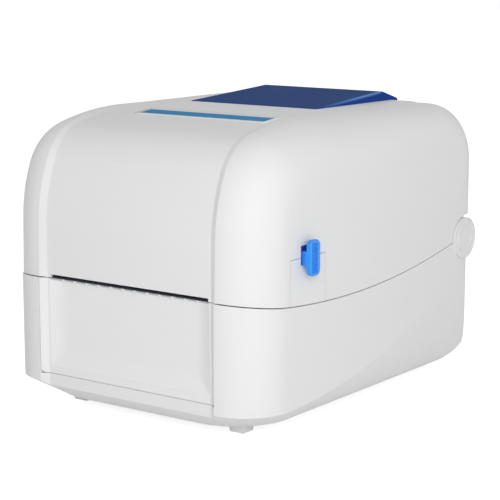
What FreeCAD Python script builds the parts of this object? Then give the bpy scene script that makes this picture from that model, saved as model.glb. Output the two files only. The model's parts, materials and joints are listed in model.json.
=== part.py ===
"""Desktop thermal label printer with a lid that hinges at the rear.

The frame has +X to the right of someone who faces the front, +Y to the rear and +Z up. Its origin is
under the middle of the printer, on the plane that the feet stand on. Most places along the depth are
written as distances behind the flat front strip, which is how the maker of such a housing would
measure it, and are moved to the frame's own Y at the end.
"""
import FreeCAD
import Part
import Sketcher
import math
import os
import re

from FreeCAD import Placement, Rotation, Vector

SIZES = {
    # housing, outside
    "body_width": 192,
    "depth": 251.5,
    "wall": 2.5,
    "corner_round": 29,
    "rear_round": 21,
    "cheek_step": 3.5,
    "strip_width": 124,
    "step_width": 4.3,
    "base_setback": 6.8,
    "band_top": 17.8,
    "band_front": 15,
    "band_side": 15.5,
    "band_round": 36,
    "crease_start": 20,
    "crease_round": 427,
    "crease_stations": 5,
    "tail_round": 10,
    "heel_round": 14,
    # lid, side view
    "cheek_lean": 1.3,
    "cheek_brow_height": 116,
    "cheek_brow": 96,
    "cheek_crown": 38.2,
    "cheek_roof": 191,
    "strip_brow_height": 111,
    "strip_brow": 107,
    "strip_crown": 33,
    "strip_roof": 225,
    "brow_turn": 24,
    "crown_turn": 76,
    "strip_pitch": -0.3,
    "cheek_pitch": -0.7,
    "rear_crown": 38,
    # line between lid and base
    "parting_front": 81.6,
    "parting_dip": 75.4,
    "parting_dip_at": 86.4,
    "parting_rear": 88.8,
    "parting_gap": 0.6,
    # hinge
    "hinge_setback": 21,
    "hinge_height": 90.3,
    "boss_round": 13.5,
    "boss_ring": 9,
    "ring_width": 0.8,
    "ring_rise": 0.5,
    "boss_proud": 1,
    "knuckle_at": 60,
    "knuckle_width": 13.5,
    "knuckle_web": 14,
    "side_play": 0.3,
    "flange_rise": 15,
    "flange_thick": 2,
    "hinge_pin": 3,
    "hinge_pin_start": 50,
    "hinge_pin_length": 42,
    "running_play": 0.05,
    "seat_play": 0.02,
    "fit_gap": 0.3,
    # label slot, front panel and tear bar
    "slot_width": 120,
    "slot_height": 2.2,
    "panel_bottom": 22.4,
    "panel_thick": 3.4,
    "dish_rim": 2.2,
    "dish_foot": 5,
    "dish_deep": 2.4,
    "dish_slope": 10,
    "dish_steps": 5,
    "dish_round": 11,
    "panel_corner": 3,
    "lip_rib_pitch": 9.3,
    "lip_rib_width": 1.2,
    "lip_rib_rise": 0.8,
    "lip_rib_count": 12,
    "lip_rib_deep": 1,
    "tear_bar_front": 1.4,
    "tear_bar_thick": 1,
    "tear_bar_low": 2.6,
    "tear_tooth": 2,
    # feet and bottom cover
    "foot_height": 6.2,
    "foot_size": 11,
    "foot_draft": 0.7,
    "foot_spread": 60.5,
    "foot_front": 30.5,
    "foot_setback": 25,
    "cover_half": 57,
    "cover_front": 44,
    "cover_setback": 37,
    "cover_thick": 1.5,
    "cover_lip": 8,
    "cover_screw": 1.4,
    "cover_screw_head": 2.6,
    "cover_screw_head_thick": 1.4,
    "cover_screw_length": 8,
    "cover_boss": 4,
    "cover_screw_ahead": 18,
    # window in the lid's roof
    "window_front": 123.8,
    "window_fall": 17,
    "window_setback": 29,
    "window_width": 98.6,
    "window_top_width": 91.6,
    "window_top": 185.2,
    "window_edge": 2,
    "window_crest": 3,
    "window_crest_drop": 0.3,
    "window_wall": 2.2,
    "window_seat": 178,
    "window_lip": 5,
    "seat_thick": 2.5,
    # cover release levers
    "latch_at": 44,
    "latch_deep": 9.6,
    "latch_pivot": 80,
    "latch_height": 105,
    "latch_pin": 2,
    "latch_boss": 4.2,
    "latch_arm": 5,
    "latch_arm_low": 63,
    "latch_nose": 3.4,
    "latch_nose_high": 4,
    "latch_lift": 2.8,
    "stem_height": 8.3,
    "bar_height": 20.8,
    "bar_thick": 4,
    "bar_stand": 3,
    "bar_round": 3.4,
    "bar_edge": 1.2,
    "bar_rib_count": 13,
    "bar_rib_deep": 0.8,
    "bar_rib_width": 5.4,
    "bar_rib_ahead": 1.3,
    "blade_thick": 1.6,
    "lug_thick": 4,
    "insert_front": 28.5,
    "insert_rear": 64,
    "insert_gap": 0.35,
    "insert_thick": 3,
    "keeper_thick": 3,
    "keeper_drop": 2,
    # platen and its frame
    "platen_at": 13.5,
    "platen_height": 73.6,
    "platen_round": 8,
    "platen_width": 114,
    "shaft_round": 3,
    "frame_half": 64.5,
    "frame_sheet": 2,
    "frame_front": 4,
    "frame_rear": 60,
    "frame_shoulder": 40,
    "frame_shoulder_drop": 18,
    "frame_toe_play": 3.1025,
    "frame_toe_rise": 15,
    "frame_tie_inset": 1,
    "frame_tie_rear": 44,
    "frame_top": 80,
    "bush_round": 5,
    "bush_flange": 6.5,
    # drive
    "gear_module": 0.8,
    "backlash": 0.14,
    "platen_teeth": 24,
    "idler_teeth": 34,
    "motor_teeth": 16,
    "gear_width": 6,
    "gear_plane": 71,
    "motor_at": 40,
    "motor_height": 40,
    "motor_size": 35,
    "motor_length": 34,
    "motor_pilot": 11,
    "motor_shaft": 2.5,
    "motor_chamfer": 4,
    "motor_shaft_depth": 18,
    "idler_pin": 2.5,
    "idler_collar": 4,
    "shaft_end": 1.5,
    # roll bay and sliding roll holders
    "tray_half": 75,
    "tray_sheet": 2,
    "deck_front": 26,
    "deck_height": 70,
    "bay_front": 60,
    "bay_front_height": 66,
    "bay_floor_front": 74,
    "bay_floor": 30,
    "bay_slope": 12,
    "bay_setback": 19,
    "bay_rear_height": 80,
    "tray_rim": 72,
    "tray_rim_turn": 150,
    "tray_rib_at": 66,
    "holder_at": 135,
    "holder_inner": 52,
    "holder_thick": 4,
    "holder_width": 44,
    "holder_neck": 26,
    "holder_height": 88,
    "hub_round": 17,
    "core_round": 11,
    "core_length": 7,
    "rack_low": 13,
    "rack_high": 9,
    "rack_body": 5,
    "rack_reach": 18,
    "rack_module": 1,
    "guide_teeth": 14,
    "guide_post": 3,
    "guide_post_head": 5,
    "guide_post_head_thick": 1.5,
    "holder_in": 34,
    "holder_out": 6,
    # label sensor
    "rail_at": 33,
    "rail_height": 75,
    "rail_round": 2.2,
    "sensor_width": 14,
    "sensor_deep": 9,
    "sensor_high": 5.6,
    # print mechanism in the lid
    "cage_half": 68,
    "cage_sheet": 2,
    "cage_front": 14,
    "cage_rear": 118,
    "cage_low": 86,
    "cage_waist": 60,
    "cage_rear_low": 104,
    "cage_rear_high": 150,
    "cage_roof_front": 30,
    "cage_roof_rear": 102,
    "cage_brow": 140,
    "cage_top": 168,
    "cage_post": 4.5,
    "takeup_at": 40,
    "takeup_height": 144,
    "supply_at": 96,
    "supply_height": 140,
    "spindle_round": 8,
    "spindle_flange": 11,
    "spindle_flange_thick": 2,
    "spindle_stub": 3,
    "spindle_knob": 8,
    "spindle_knob_thick": 5,
    "spindle_gap": 4,
    "head_gap": 0.35,
    "head_strip_thick": 2,
    "head_front": 7,
    "head_strip_deep": 12,
    "sink_deep": 20,
    "sink_high": 9,
    "sink_base": 3,
    "sink_fin": 1.6,
    "sink_slot_count": 5,
    "head_half": 56,
    "carriage_half": 64,
    "carriage_sheet": 2,
    "ear_front": 38,
    "ear_rear": 54,
    "ear_rise": 5,
    "head_pivot_at": 48,
    "head_pivot_height": 100,
    "head_pivot_pin": 2.5,
    "press_bar_height": 108,
    "press_bar_deep": 12,
    "press_bar_thick": 2,
    "spring_spread": 36,
    "spring_round": 4,
    "spring_wire": 0.5,
    "spring_turns": 5,
    # sockets and switch at the rear
    "board_sheet": 1.6,
    "board_gap": 13.4,
    "board_height": 30,
    "board_play": 0.05,
    "board_left": 74,
    "board_right": 36,
    "socket_drop": 36.3,
    "switch_at": 58,
    "switch_width": 15,
    "switch_height": 21,
    "switch_bezel": 1.5,
    "switch_lip": 1.2,
    "switch_deep": 9,
    "rocker_back": 2,
    "rocker_front": 2.2,
    "rocker_dip": 1,
    "rocker_play": 0.7,
    "rocker_pin": 1.2,
    "rocker_pin_reach": 0.9,
    "rocker_well": 4,
    "power_at": 22,
    "power_size": 11,
    "power_bore": 3.2,
    "power_pin": 1,
    "usb_at": 14,
    "usb_width": 12,
    "usb_height": 11,
    "usb_shell": 0.8,
    "usb_tongue": 2.6,
    "socket_deep": 9,
}

doc = FreeCAD.newDocument("LabelPrinter")
sheet = doc.addObject("Spreadsheet::Sheet", "Sizes")
for row, (alias, number) in enumerate(SIZES.items(), start=1):
    sheet.set(f"A{row}", alias)
    sheet.set(f"B{row}", str(number))
    sheet.setAlias(f"B{row}", alias)
doc.recompute()

# places that follow the overall sizes, each written with sizes or with the places after it
PLACES = {
    "window_peak": "window_rear - window_fall",
    "window_rear": "depth - cheek_step - window_setback",
    "foot_rear": "hinge_at - foot_setback",
    "cover_rear": "hinge_at - cover_setback",
    "bay_floor_rear": "bay_rear - bay_slope",
    "bay_rear": "hinge_at - bay_setback",
    "hinge_at": "depth - cheek_step - hinge_setback",
    "board_low": "board_high - board_height",
    "board_high": "hinge_height - 1.5 * boss_round - board_play",
    "socket_height": "hinge_height - socket_drop",
    "frame_tie_front": "frame_toe + frame_tie_inset",
    "frame_toe": "sole_front + band_round - sqrt(band_round^2 - sole_reach^2) + frame_toe_play",
    "sole_front": "wall - cheek_step + band_front",
    "sole_reach": "frame_half + wall + band_side + band_round - body_width / 2",
}
FRONT = "cheek_step - depth / 2"
PRESSURE_ANGLE = math.radians(20)
FAR = 400
nodes = []


def bound(text):
    """The expression that reads each size named in a text from the sheet, places written out."""
    for name, place in PLACES.items():
        text = re.sub(rf"\b{name}\b", f"({place})", text)
    return re.sub(r"\b[a-z][a-z_]*\b(?!\()", r"Sizes.\g<0>", text)


def value(text):
    """What an expression of sizes comes to now."""
    return float(sheet.evalExpression(bound(text)))


def node(label, piece):
    """Name a finished sub-part."""
    piece.Label = label
    nodes.append(piece)
    return piece


def feature(label, shape):
    """A finished sub-part whose shape is worked out from the sizes, placed at the front strip."""
    piece = doc.addObject("Part::Feature", label)
    piece.Shape = shape
    piece.setExpression("Placement.Base.y", bound(FRONT))
    return node(label, piece)


def tool(shape):
    """A worked-out shape that another piece is made with, placed at the front strip."""
    piece = doc.addObject("Part::Feature", "Form")
    piece.Shape = shape
    piece.setExpression("Placement.Base.y", bound(FRONT))
    return piece


def box(x, y, z):
    """A block between two bounds on each axis."""
    block = doc.addObject("Part::Box", "Block")
    sides = (("Length", "x", x, "0"), ("Width", "y", y, FRONT), ("Height", "z", z, "0"))
    for name, axis, (low, high), shift in sides:
        block.setExpression(name, bound(f"({high}) - ({low})"))
        block.setExpression(f"Placement.Base.{axis}", bound(f"{low} + {shift}"))
    return block


AXES = {"x": Rotation(Vector(0, 1, 0), 90), "y": Rotation(Vector(1, 0, 0), -90), "z": Rotation()}


def rod(axis, radius, span, x="0", y="0", z="0"):
    """A round bar along an axis, over a span of it, through a place on the other two."""
    bar = doc.addObject("Part::Cylinder", "Rod")
    bar.Placement = Placement(Vector(), AXES[axis])
    place = {"x": x, "y": y, "z": z}
    place[axis] = span[0]
    place["y"] = f"{place['y']} + {FRONT}"
    bar.setExpression("Radius", bound(radius))
    bar.setExpression("Height", bound(f"({span[1]}) - ({span[0]})"))
    for name, text in place.items():
        bar.setExpression(f"Placement.Base.{name}", bound(text))
    return bar


def fuse(*pieces):
    """One solid of several pieces, or a group of solids where they stand apart."""
    joined = doc.addObject("Part::MultiFuse", "Joined")
    joined.Shapes = list(pieces)
    return joined


def cut(piece, *tools):
    """A piece with the tools taken out of it."""
    rest = doc.addObject("Part::Cut", "Rest")
    rest.Base = piece
    rest.Tool = tools[0] if len(tools) == 1 else fuse(*tools)
    return rest


def common(piece, other):
    """What two pieces share."""
    shared = doc.addObject("Part::Common", "Shared")
    shared.Base = piece
    shared.Tool = other
    return shared


def mirrored(piece):
    """The same piece on the other side of the middle plane."""
    twin = doc.addObject("Part::Mirroring", "Twin")
    twin.Source = piece
    twin.Normal = Vector(1, 0, 0)
    return twin


def pair(piece):
    """A piece and its twin on the other side."""
    return fuse(piece, mirrored(piece))


def plate(name, outline, x):
    """A body padded over a span of X from a side view whose corners are written as sizes."""
    body = doc.addObject("PartDesign::Body", name)
    body.setExpression("Placement.Base.y", bound(FRONT))
    sketch = body.newObject("Sketcher::SketchObject", name + "Outline")
    plane = next(item for item in body.Origin.OriginFeatures if item.Role == "YZ_Plane")
    sketch.AttachmentSupport = [(plane, "")]
    sketch.MapMode = "FlatFace"
    sketch.setExpression("AttachmentOffset.Base.z", bound(x[0]))
    corners = [Vector(value(y), value(z), 0) for y, z in outline]
    for index, corner in enumerate(corners):
        sketch.addGeometry(Part.LineSegment(corner, corners[(index + 1) % len(corners)]), False)
    for index, place in enumerate(outline):
        sketch.addConstraint(Sketcher.Constraint("Coincident", index, 2, (index + 1) % len(corners), 1))
        for kind, text in zip(("DistanceX", "DistanceY"), place):
            held = sketch.addConstraint(Sketcher.Constraint(kind, -1, 1, index, 1, value(text)))
            sketch.setExpression(f"Constraints[{held}]", bound(text))
    pad = body.newObject("PartDesign::Pad", name + "Pad")
    pad.Profile = sketch
    pad.setExpression("Length", bound(f"({x[1]}) - ({x[0]})"))
    sketch.Visibility = False
    doc.recompute()
    return body


def around(text, half):
    """Bounds at equal distances on both sides of a place."""
    return (f"({text}) - ({half})", f"({text}) + ({half})")


HALF = value("body_width / 2")
STRIP = value("strip_width / 2")
STEP = STRIP + value("step_width")
CHEEK = -value("cheek_step")
LID_REAR = value("depth - cheek_step")
BASE_REAR = LID_REAR - value("base_setback")
WALL = value("wall")
LOW = value("hinge_height / 2")
CORNER = min(value("corner_round"), HALF - STEP - value("seat_play"))


def x_rod(radius, x_from, x_to, y, z):
    """A round bar along X, in the measure of the front strip."""
    return Part.makeCylinder(radius, x_to - x_from, Vector(x_from, y, z), Vector(1, 0, 0))


def block(x, y, z):
    """A block in the measure of the front strip."""
    return Part.makeBox(x[1] - x[0], y[1] - y[0], z[1] - z[0], Vector(x[0], y[0], z[0]))


def both_sides(shape):
    """A shape with its mirror image across the middle plane."""
    return shape.fuse(shape.mirror(Vector(), Vector(1, 0, 0)))


def parting_bore(shift):
    """Everything above the shallow arc between base and lid, lowered by a shift."""
    arc = Part.Arc(
        Vector(0, 0, value("parting_front")),
        Vector(0, value("parting_dip_at"), value("parting_dip")),
        Vector(0, value("hinge_at - boss_round"), value("parting_rear")),
    ).toShape().Curve
    return x_rod(arc.Radius + shift, -FAR, FAR, arc.Center.y, arc.Center.z)


def turn(place, radius, heading, new_heading):
    """An arc to the right, from one heading to another, both in degrees from straight up."""
    ways = [math.radians(angle) for angle in (heading, (heading + new_heading) / 2, new_heading)]
    centre = place + Vector(0, math.cos(ways[0]), -math.sin(ways[0])) * radius
    ends = [centre + Vector(0, -math.cos(way), math.sin(way)) * radius for way in ways]
    return Part.Arc(*ends).toShape(), ends[2]


def lid_section(x, kind, inset):
    """Side view of the lid's cheek or strip: front, brow, crown, roof, rear crown and back."""
    lean = value("cheek_lean") if kind == "cheek" else 0
    pitch = 90 - value(f"{kind}_pitch")
    brow_height = value(f"{kind}_brow_height")
    radii = [value(f"{kind}_{part}") for part in ("brow", "crown", "roof")]
    headings = [lean, value("brow_turn"), value("crown_turn"), pitch]
    start = CHEEK if kind == "cheek" else 0
    offset = math.radians(lean)
    foot = Vector(x, start + inset / math.cos(offset), LOW)
    up = Vector(0, math.sin(offset), math.cos(offset))
    place = foot + up * ((brow_height - LOW) / math.cos(offset) - inset * math.tan(offset))
    edges = [Part.makeLine(foot, place)]
    for radius, heading, new_heading in zip(radii, headings, headings[1:]):
        arc, place = turn(place, radius - inset, heading, new_heading)
        edges.append(arc)
    along = math.radians(pitch)
    run = (LID_REAR - value("rear_crown") - place.y - inset * math.cos(along)) / math.sin(along)
    crown_start = place + Vector(0, math.sin(along), math.cos(along)) * run
    edges.append(Part.makeLine(place, crown_start))
    radius = (LID_REAR - inset - crown_start.y) / (1 + math.cos(along))
    arc, place = turn(crown_start, radius, pitch, 180)
    edges.append(arc)
    back_foot = Vector(x, place.y, LOW)
    edges.append(Part.makeLine(place, back_foot))
    edges.append(Part.makeLine(back_foot, foot))
    return Part.Wire(edges)


def lid_body(inset):
    """The lid's outer form, or its hollow: a strip between two cheeks with a big round all along."""
    strip = Part.makeLoft(
        [
            lid_section(-STEP, "cheek", inset),
            lid_section(-STRIP, "strip", inset),
            lid_section(STRIP, "strip", inset),
            lid_section(STEP, "cheek", inset),
        ],
        True,
        True,
    )
    cheek = Part.Face(lid_section(STEP, "cheek", inset)).extrude(Vector(HALF - inset - STEP, 0, 0))
    return strip.fuse(both_sides(rounded_rim(cheek, inset)))


def rounded_rim(cheek, inset):
    """A cheek with a big round along its outer edge, which tightens along the roof towards the rear."""
    sharp = doc.addObject("Part::Feature", "Cheek")
    sharp.Shape = cheek
    front, rear = CORNER - inset, min(CORNER, value("rear_round")) - inset
    rim = []
    for index, edge in enumerate(cheek.Edges, 1):
        start, end = [vertex.Point for vertex in edge.Vertexes]
        if min(start.x, end.x) < HALF - inset - 0.001 or max(start.z, end.z) < LOW + 0.001:
            continue
        behind = [point.y > LID_REAR - value("rear_crown") - 0.001 for point in (start, end)]
        rim.append((index, *[rear if far else front for far in behind]))
    fillet = doc.addObject("Part::Fillet", "CheekRound")
    fillet.Base = sharp
    fillet.Edges = rim
    doc.recompute()
    rounded = fillet.Shape.Solids[0].copy()
    doc.removeObject(fillet.Name)
    doc.removeObject(sharp.Name)
    return rounded


def plan(half, front, rear, front_round, rear_round, z):
    """A rectangle seen from above, with its own round at the front corners and at the rear ones."""
    edges = []
    last = None
    corners = (
        (half, front, front_round, -90),
        (half, rear, rear_round, 0),
        (-half, rear, rear_round, 90),
        (-half, front, front_round, 180),
    )
    for x, y, radius, start in corners:
        centre = Vector(x - math.copysign(radius, x), y + (radius if y == front else -radius), z)
        angles = [math.radians(start + step) for step in (0, 45, 90)]
        ends = [centre + Vector(math.cos(angle), math.sin(angle), 0) * radius for angle in angles]
        if last:
            edges.append(Part.makeLine(last, ends[0]))
        edges.append(Part.Arc(*ends).toShape())
        last = ends[2]
    edges.append(Part.makeLine(last, edges[0].Vertexes[0].Point))
    return Part.Wire(edges)


def crease_cut(half, bottom):
    """What lies outside the flank below the rising crease, straight at the front and round at the rear."""
    start, end = value("crease_start"), BASE_REAR + WALL
    radius = value("crease_round")
    side = value("band_side")
    stations = int(value("crease_stations"))
    sections = []
    for station in range(stations + 1):
        part = station / stations
        y = start + (end - start) * part
        rise = value("band_top") + radius - math.sqrt(radius**2 - (y - start) ** 2) - bottom
        crease = Vector(half, y, bottom + rise)
        foot = Vector(half - side, y, bottom)
        pull = Vector(half - side * (1 - part) / 2, y, bottom + rise * (1 - part) / 2)
        flank = Part.BezierCurve()
        flank.setPoles([crease, pull, foot])
        outside = Part.makePolygon([foot, Vector(half + FAR, y, bottom - FAR), crease])
        sections.append(Part.Wire([flank.toShape(), *outside.Edges]))
    return Part.makeLoft(sections, True)


def base_body(inset):
    """The base's outer form, or its hollow, before it is cut along the parting line."""
    half = HALF - inset
    front = CHEEK + inset
    rear = BASE_REAR - inset
    corner = CORNER - inset
    rear_corner = value("heel_round") - inset
    bottom = value("foot_height") + inset
    belt = plan(half, front, rear, corner, rear_corner, value("band_top"))
    sole_half = half - value("band_side")
    sole_front = front + value("band_front")
    sole = plan(sole_half, sole_front, rear, value("band_round"), rear_corner, bottom)
    body = Part.makeLoft([sole, belt], True, True)
    body = body.fuse(Part.Face(belt).extrude(Vector(0, 0, value("hinge_height"))))
    tail = value("tail_round") - inset
    under = Vector(0, rear - tail, bottom)
    bend = Part.Arc(
        under,
        Vector(0, rear - tail * (1 - math.sqrt(0.5)), bottom + tail * (1 - math.sqrt(0.5))),
        Vector(0, rear, bottom + tail),
    )
    outline = [
        bend.toShape(),
        *Part.makePolygon(
            [
                Vector(0, rear, bottom + tail),
                Vector(0, rear, FAR),
                Vector(0, -FAR, FAR),
                Vector(0, -FAR, bottom),
                under,
            ]
        ).Edges,
    ]
    side = Part.Face(Part.Wire(outline)).extrude(Vector(2 * FAR, 0, 0))
    side.translate(Vector(-FAR, 0, 0))
    return body.common(side).cut([both_sides(crease_cut(half, bottom)), strip_recess(inset)])


def strip_recess(inset):
    """What lies in front of the recessed strip, between the sloping steps up to the cheeks."""
    slope = value("step_width / cheek_step")
    mouth = STEP + slope * WALL
    recess = Part.makePolygon(
        [
            Vector(-STRIP, inset, 0),
            Vector(STRIP, inset, 0),
            Vector(mouth + slope * inset, CHEEK - WALL, 0),
            Vector(-mouth - slope * inset, CHEEK - WALL, 0),
            Vector(-STRIP, inset, 0),
        ]
    )
    return Part.Face(recess).extrude(Vector(0, 0, FAR))


def gear_outline(teeth, module, phase, x):
    """Edges of a spur gear about the origin, in the plane at x, with a tooth at the phase angle."""
    pitch_radius = teeth * module / 2
    base_radius = pitch_radius * math.cos(PRESSURE_ANGLE)
    root = pitch_radius - 1.25 * module
    tip = pitch_radius + module
    flank_start = max(base_radius, root)
    half_tooth = math.pi / (2 * teeth) - value("backlash") / (4 * pitch_radius)

    def half_angle(radius):
        lean = math.acos(min(1, base_radius / radius))
        return half_tooth + math.tan(PRESSURE_ANGLE) - PRESSURE_ANGLE - math.tan(lean) + lean

    def point(radius, angle):
        return Vector(x, radius * math.cos(angle), radius * math.sin(angle))

    radii = (flank_start, (flank_start + tip) / 2, tip)
    edges = []
    last = None
    first = None
    for tooth in range(teeth):
        middle = phase + 2 * math.pi * tooth / teeth
        rise = [point(radius, middle - half_angle(radius)) for radius in radii]
        fall = [point(radius, middle + half_angle(radius)) for radius in reversed(radii)]
        foot = point(root, middle - half_angle(flank_start))
        heel = point(root, middle + half_angle(flank_start))
        if last:
            edges.append(Part.makeLine(last, foot))
        first = first or foot
        if flank_start > root:
            edges.append(Part.makeLine(foot, rise[0]))
        edges.append(Part.Arc(*rise).toShape())
        edges.append(Part.makeLine(rise[2], fall[0]))
        edges.append(Part.Arc(*fall).toShape())
        if flank_start > root:
            edges.append(Part.makeLine(fall[2], heel))
        last = heel
    edges.append(Part.makeLine(last, first))
    return edges


def x_gear(teeth, phase, y, z):
    """A spur gear of the drive, square to X, over the drive's plane on the left."""
    outer = -value("gear_plane + gear_width")
    gear = Part.Face(Part.Wire(gear_outline(teeth, value("gear_module"), phase, outer)))
    gear = gear.extrude(Vector(value("gear_width"), 0, 0))
    gear.translate(Vector(0, y, z))
    return gear


def housing():
    """Base shell, with the drums of the hinge, ribs, bosses and all its openings."""
    hinge = (value("hinge_at"), value("hinge_height"))
    boss = value("boss_round")
    play = value("side_play")
    inner_end = value("knuckle_at") - play
    outer_start = value("knuckle_at + knuckle_width") + play
    floor = value("foot_height") + WALL
    shell = base_body(0).cut(base_body(WALL)).cut(parting_bore(value("parting_gap / 2")))
    barrel = x_rod(boss, -inner_end, inner_end, *hinge)
    core = value("hinge_pin_start") - WALL
    barrel = barrel.cut(x_rod(boss - WALL, -core, core, *hinge))
    face = HALF + value("boss_proud")
    drum = x_rod(boss, outer_start, face, *hinge)
    ring_top = face + value("ring_rise")
    for radius in (boss, value("boss_ring")):
        ring = x_rod(radius, face - WALL, ring_top, *hinge)
        drum = drum.fuse(ring.cut(x_rod(radius - value("ring_width"), face, ring_top, *hinge)))
    ribs = [
        block(
            (x - WALL / 2, x + WALL / 2),
            (hinge[0] + boss / 2, BASE_REAR - WALL / 2),
            (hinge[1] - 1.5 * boss, hinge[1]),
        )
        for x in (-inner_end + WALL, 0, inner_end - WALL)
    ]
    tray_bottom = value("bay_floor - tray_sheet")
    rib_at = value("tray_rib_at")
    runner = block(
        (rib_at - WALL, rib_at),
        (value("bay_floor_front") + WALL, value("bay_floor_rear")),
        (floor - WALL / 2, tray_bottom),
    )
    shell = shell.fuse([barrel, both_sides(drum), both_sides(runner), *ribs])
    sweep = value("flange_rise + flange_thick") + value("knuckle_web / 4")
    notch = x_rod(sweep, inner_end, outer_start, *hinge)
    pin = value("hinge_pin + seat_play")
    pin_start = value("hinge_pin_start")
    hole = x_rod(pin, pin_start, pin_start + value("hinge_pin_length"), *hinge)
    panel = block(
        (-STEP, STEP),
        (CHEEK - WALL, value("panel_thick + fit_gap")),
        (value("panel_bottom"), FAR),
    )
    lip = value("cover_lip")
    half, front, rear = value("cover_half"), value("cover_front"), value("cover_rear")
    bottom = value("foot_height")
    gap = value("fit_gap")
    recess = block(
        (-half - gap, half + gap),
        (front - gap, rear + gap),
        (bottom - WALL, bottom + value("cover_thick")),
    )
    hatch = block((lip - half, half - lip), (front + lip, rear - lip), (bottom - WALL, floor + WALL))
    screw_holes = []
    bosses = []
    length = value("cover_screw_length")
    for x, y in cover_screw_places():
        boss_foot = Vector(x, y, bottom + value("cover_thick"))
        bosses.append(Part.makeCylinder(value("cover_boss"), length + WALL, boss_foot))
        hole_foot = Vector(x, y, bottom)
        screw_holes.append(Part.makeCylinder(value("cover_screw + seat_play"), length + gap, hole_foot))
    openings = [panel, recess, hatch, *screw_holes, *rear_windows()]
    return shell.fuse(bosses).cut([both_sides(notch), both_sides(hole), *openings])


def cover_screw_places():
    """Where the bottom cover is screwed to the base: two rows of three."""
    half = value(SCREW_LINE)
    return [(x, value(row)) for x in (-half, half) for row in SCREW_ROWS]


def rear_windows():
    """Openings in the base's rear wall for the switch and the two sockets."""
    gap = value("fit_gap")
    height = value("socket_height")
    depth = (BASE_REAR - 2 * WALL, BASE_REAR + WALL)
    places = (
        (-value("switch_at"), value("switch_width"), value("switch_height")),
        (-value("power_at"), value("power_size"), value("power_size")),
        (value("usb_at"), value("usb_width"), value("usb_height")),
    )
    return [
        block(
            (x - width / 2 - gap, x + width / 2 + gap),
            depth,
            (height - high / 2 - gap, height + high / 2 + gap),
        )
        for x, width, high in places
    ]


def window_wedge(inset, bottom):
    """The low wedge that stands on the roof: a slope up to a peak, then down to the rear."""
    front, peak, rear = value("window_front"), value("window_peak"), value("window_rear")
    top = value("window_top") - inset
    edge = value("window_seat + window_edge") - inset
    outline = [
        (front + inset, bottom),
        (front + inset, edge),
        (peak, top),
        (peak + value("window_crest"), top - value("window_crest_drop")),
        (rear - inset, edge),
        (rear - inset, bottom),
    ]
    points = [Vector(-HALF, y, z) for y, z in outline]
    side = Part.Face(Part.makePolygon([*points, points[0]])).extrude(Vector(2 * HALF, 0, 0))
    low, high = value("window_width / 2") - inset, value("window_top_width / 2") - inset
    ends = [Vector(x, 0, z) for x, z in ((-low, bottom), (-high, top), (high, top), (low, bottom))]
    across = Part.Face(Part.makePolygon([*ends, ends[0]])).extrude(Vector(0, FAR, 0))
    return side.common(across)


def lid_shell():
    """Lid with its roof seat for the window, latch lugs, posts, closing flange and hinge knuckles."""
    hinge = (value("hinge_at"), value("hinge_height"))
    rise = hinge[1] + value("flange_rise")
    gap = value("parting_gap")
    boss = value("boss_round")
    outer = lid_body(0)
    seat = value("window_seat")
    lip = value("window_lip")
    half = value("window_width / 2")
    frame_edge = WALL
    seat_block = block(
        (-half - frame_edge, half + frame_edge),
        (value("window_front") - frame_edge, value("window_rear") + frame_edge),
        (seat - value("seat_thick"), value("window_top")),
    )
    flange = block(
        (-HALF, HALF),
        (hinge[0] - value("knuckle_web / 2"), LID_REAR),
        (rise, rise + value("flange_thick")),
    )
    cage_top = value("cage_top")
    posts = [
        Part.makeCylinder(value("cage_post"), value("window_top") - cage_top, Vector(x, y, cage_top))
        for x in (-value("spring_spread"), value("spring_spread"))
        for y in (value("takeup_at"), value("supply_at"))
    ]
    lugs = latch_lugs()
    filled = seat_block.fuse([flange, *posts, both_sides(lugs)]).common(outer)
    shell = outer.cut(lid_body(WALL)).fuse(filled).common(parting_bore(-gap / 2))
    slot = block(
        (-value("slot_width / 2"), value("slot_width / 2")),
        (-WALL, 3 * WALL),
        (LOW, value("parting_front + slot_height")),
    )
    behind = block((-FAR, FAR), (hinge[0], FAR), (0, rise))
    hatch = block(
        (lip - half, half - lip),
        (value("window_front") + lip, value("window_rear") - lip),
        (seat - 2 * value("seat_thick"), value("window_top")),
    )
    nest = window_wedge(-value("seat_play"), seat)
    drum_room = x_rod(boss + gap, -FAR, FAR, *hinge)
    shell = shell.cut([slot, behind, hatch, nest, drum_room, both_sides(latch_openings())])
    knuckle = x_rod(boss, value("knuckle_at"), value("knuckle_at + knuckle_width"), *hinge)
    web = block(
        (value("knuckle_at"), value("knuckle_at + knuckle_width")),
        (hinge[0] - value("knuckle_web / 2"), hinge[0] + value("knuckle_web / 2")),
        (hinge[1], rise + value("flange_thick / 2")),
    )
    bore = x_rod(value("hinge_pin + running_play"), -FAR, FAR, *hinge)
    return shell.fuse(both_sides(knuckle.fuse(web))).cut(bore)


def latch_span():
    """The lever's bounds along the depth."""
    return value("latch_at - latch_deep / 2"), value("latch_at + latch_deep / 2")


def latch_lugs():
    """Two lugs on the right wall that carry the lever's pin."""
    front, rear = latch_span()
    gap = value("fit_gap")
    thick = value("lug_thick")
    pivot = value("latch_pivot")
    height = value("latch_height")
    reach = value("latch_boss")
    pieces = []
    for low in (front - gap - thick, rear + gap):
        lug = block((pivot, HALF - WALL / 2), (low, low + thick), (height - reach, height + reach))
        end = Part.makeCylinder(reach, thick, Vector(pivot, low, height), Vector(0, 1, 0))
        pieces.append(lug.fuse(end))
    pin_start = Vector(pivot, -FAR / 2, height)
    pin = Part.makeCylinder(value("latch_pin + seat_play"), FAR, pin_start, Vector(0, 1, 0))
    return pieces[0].fuse(pieces[1]).cut(pin)


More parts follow.
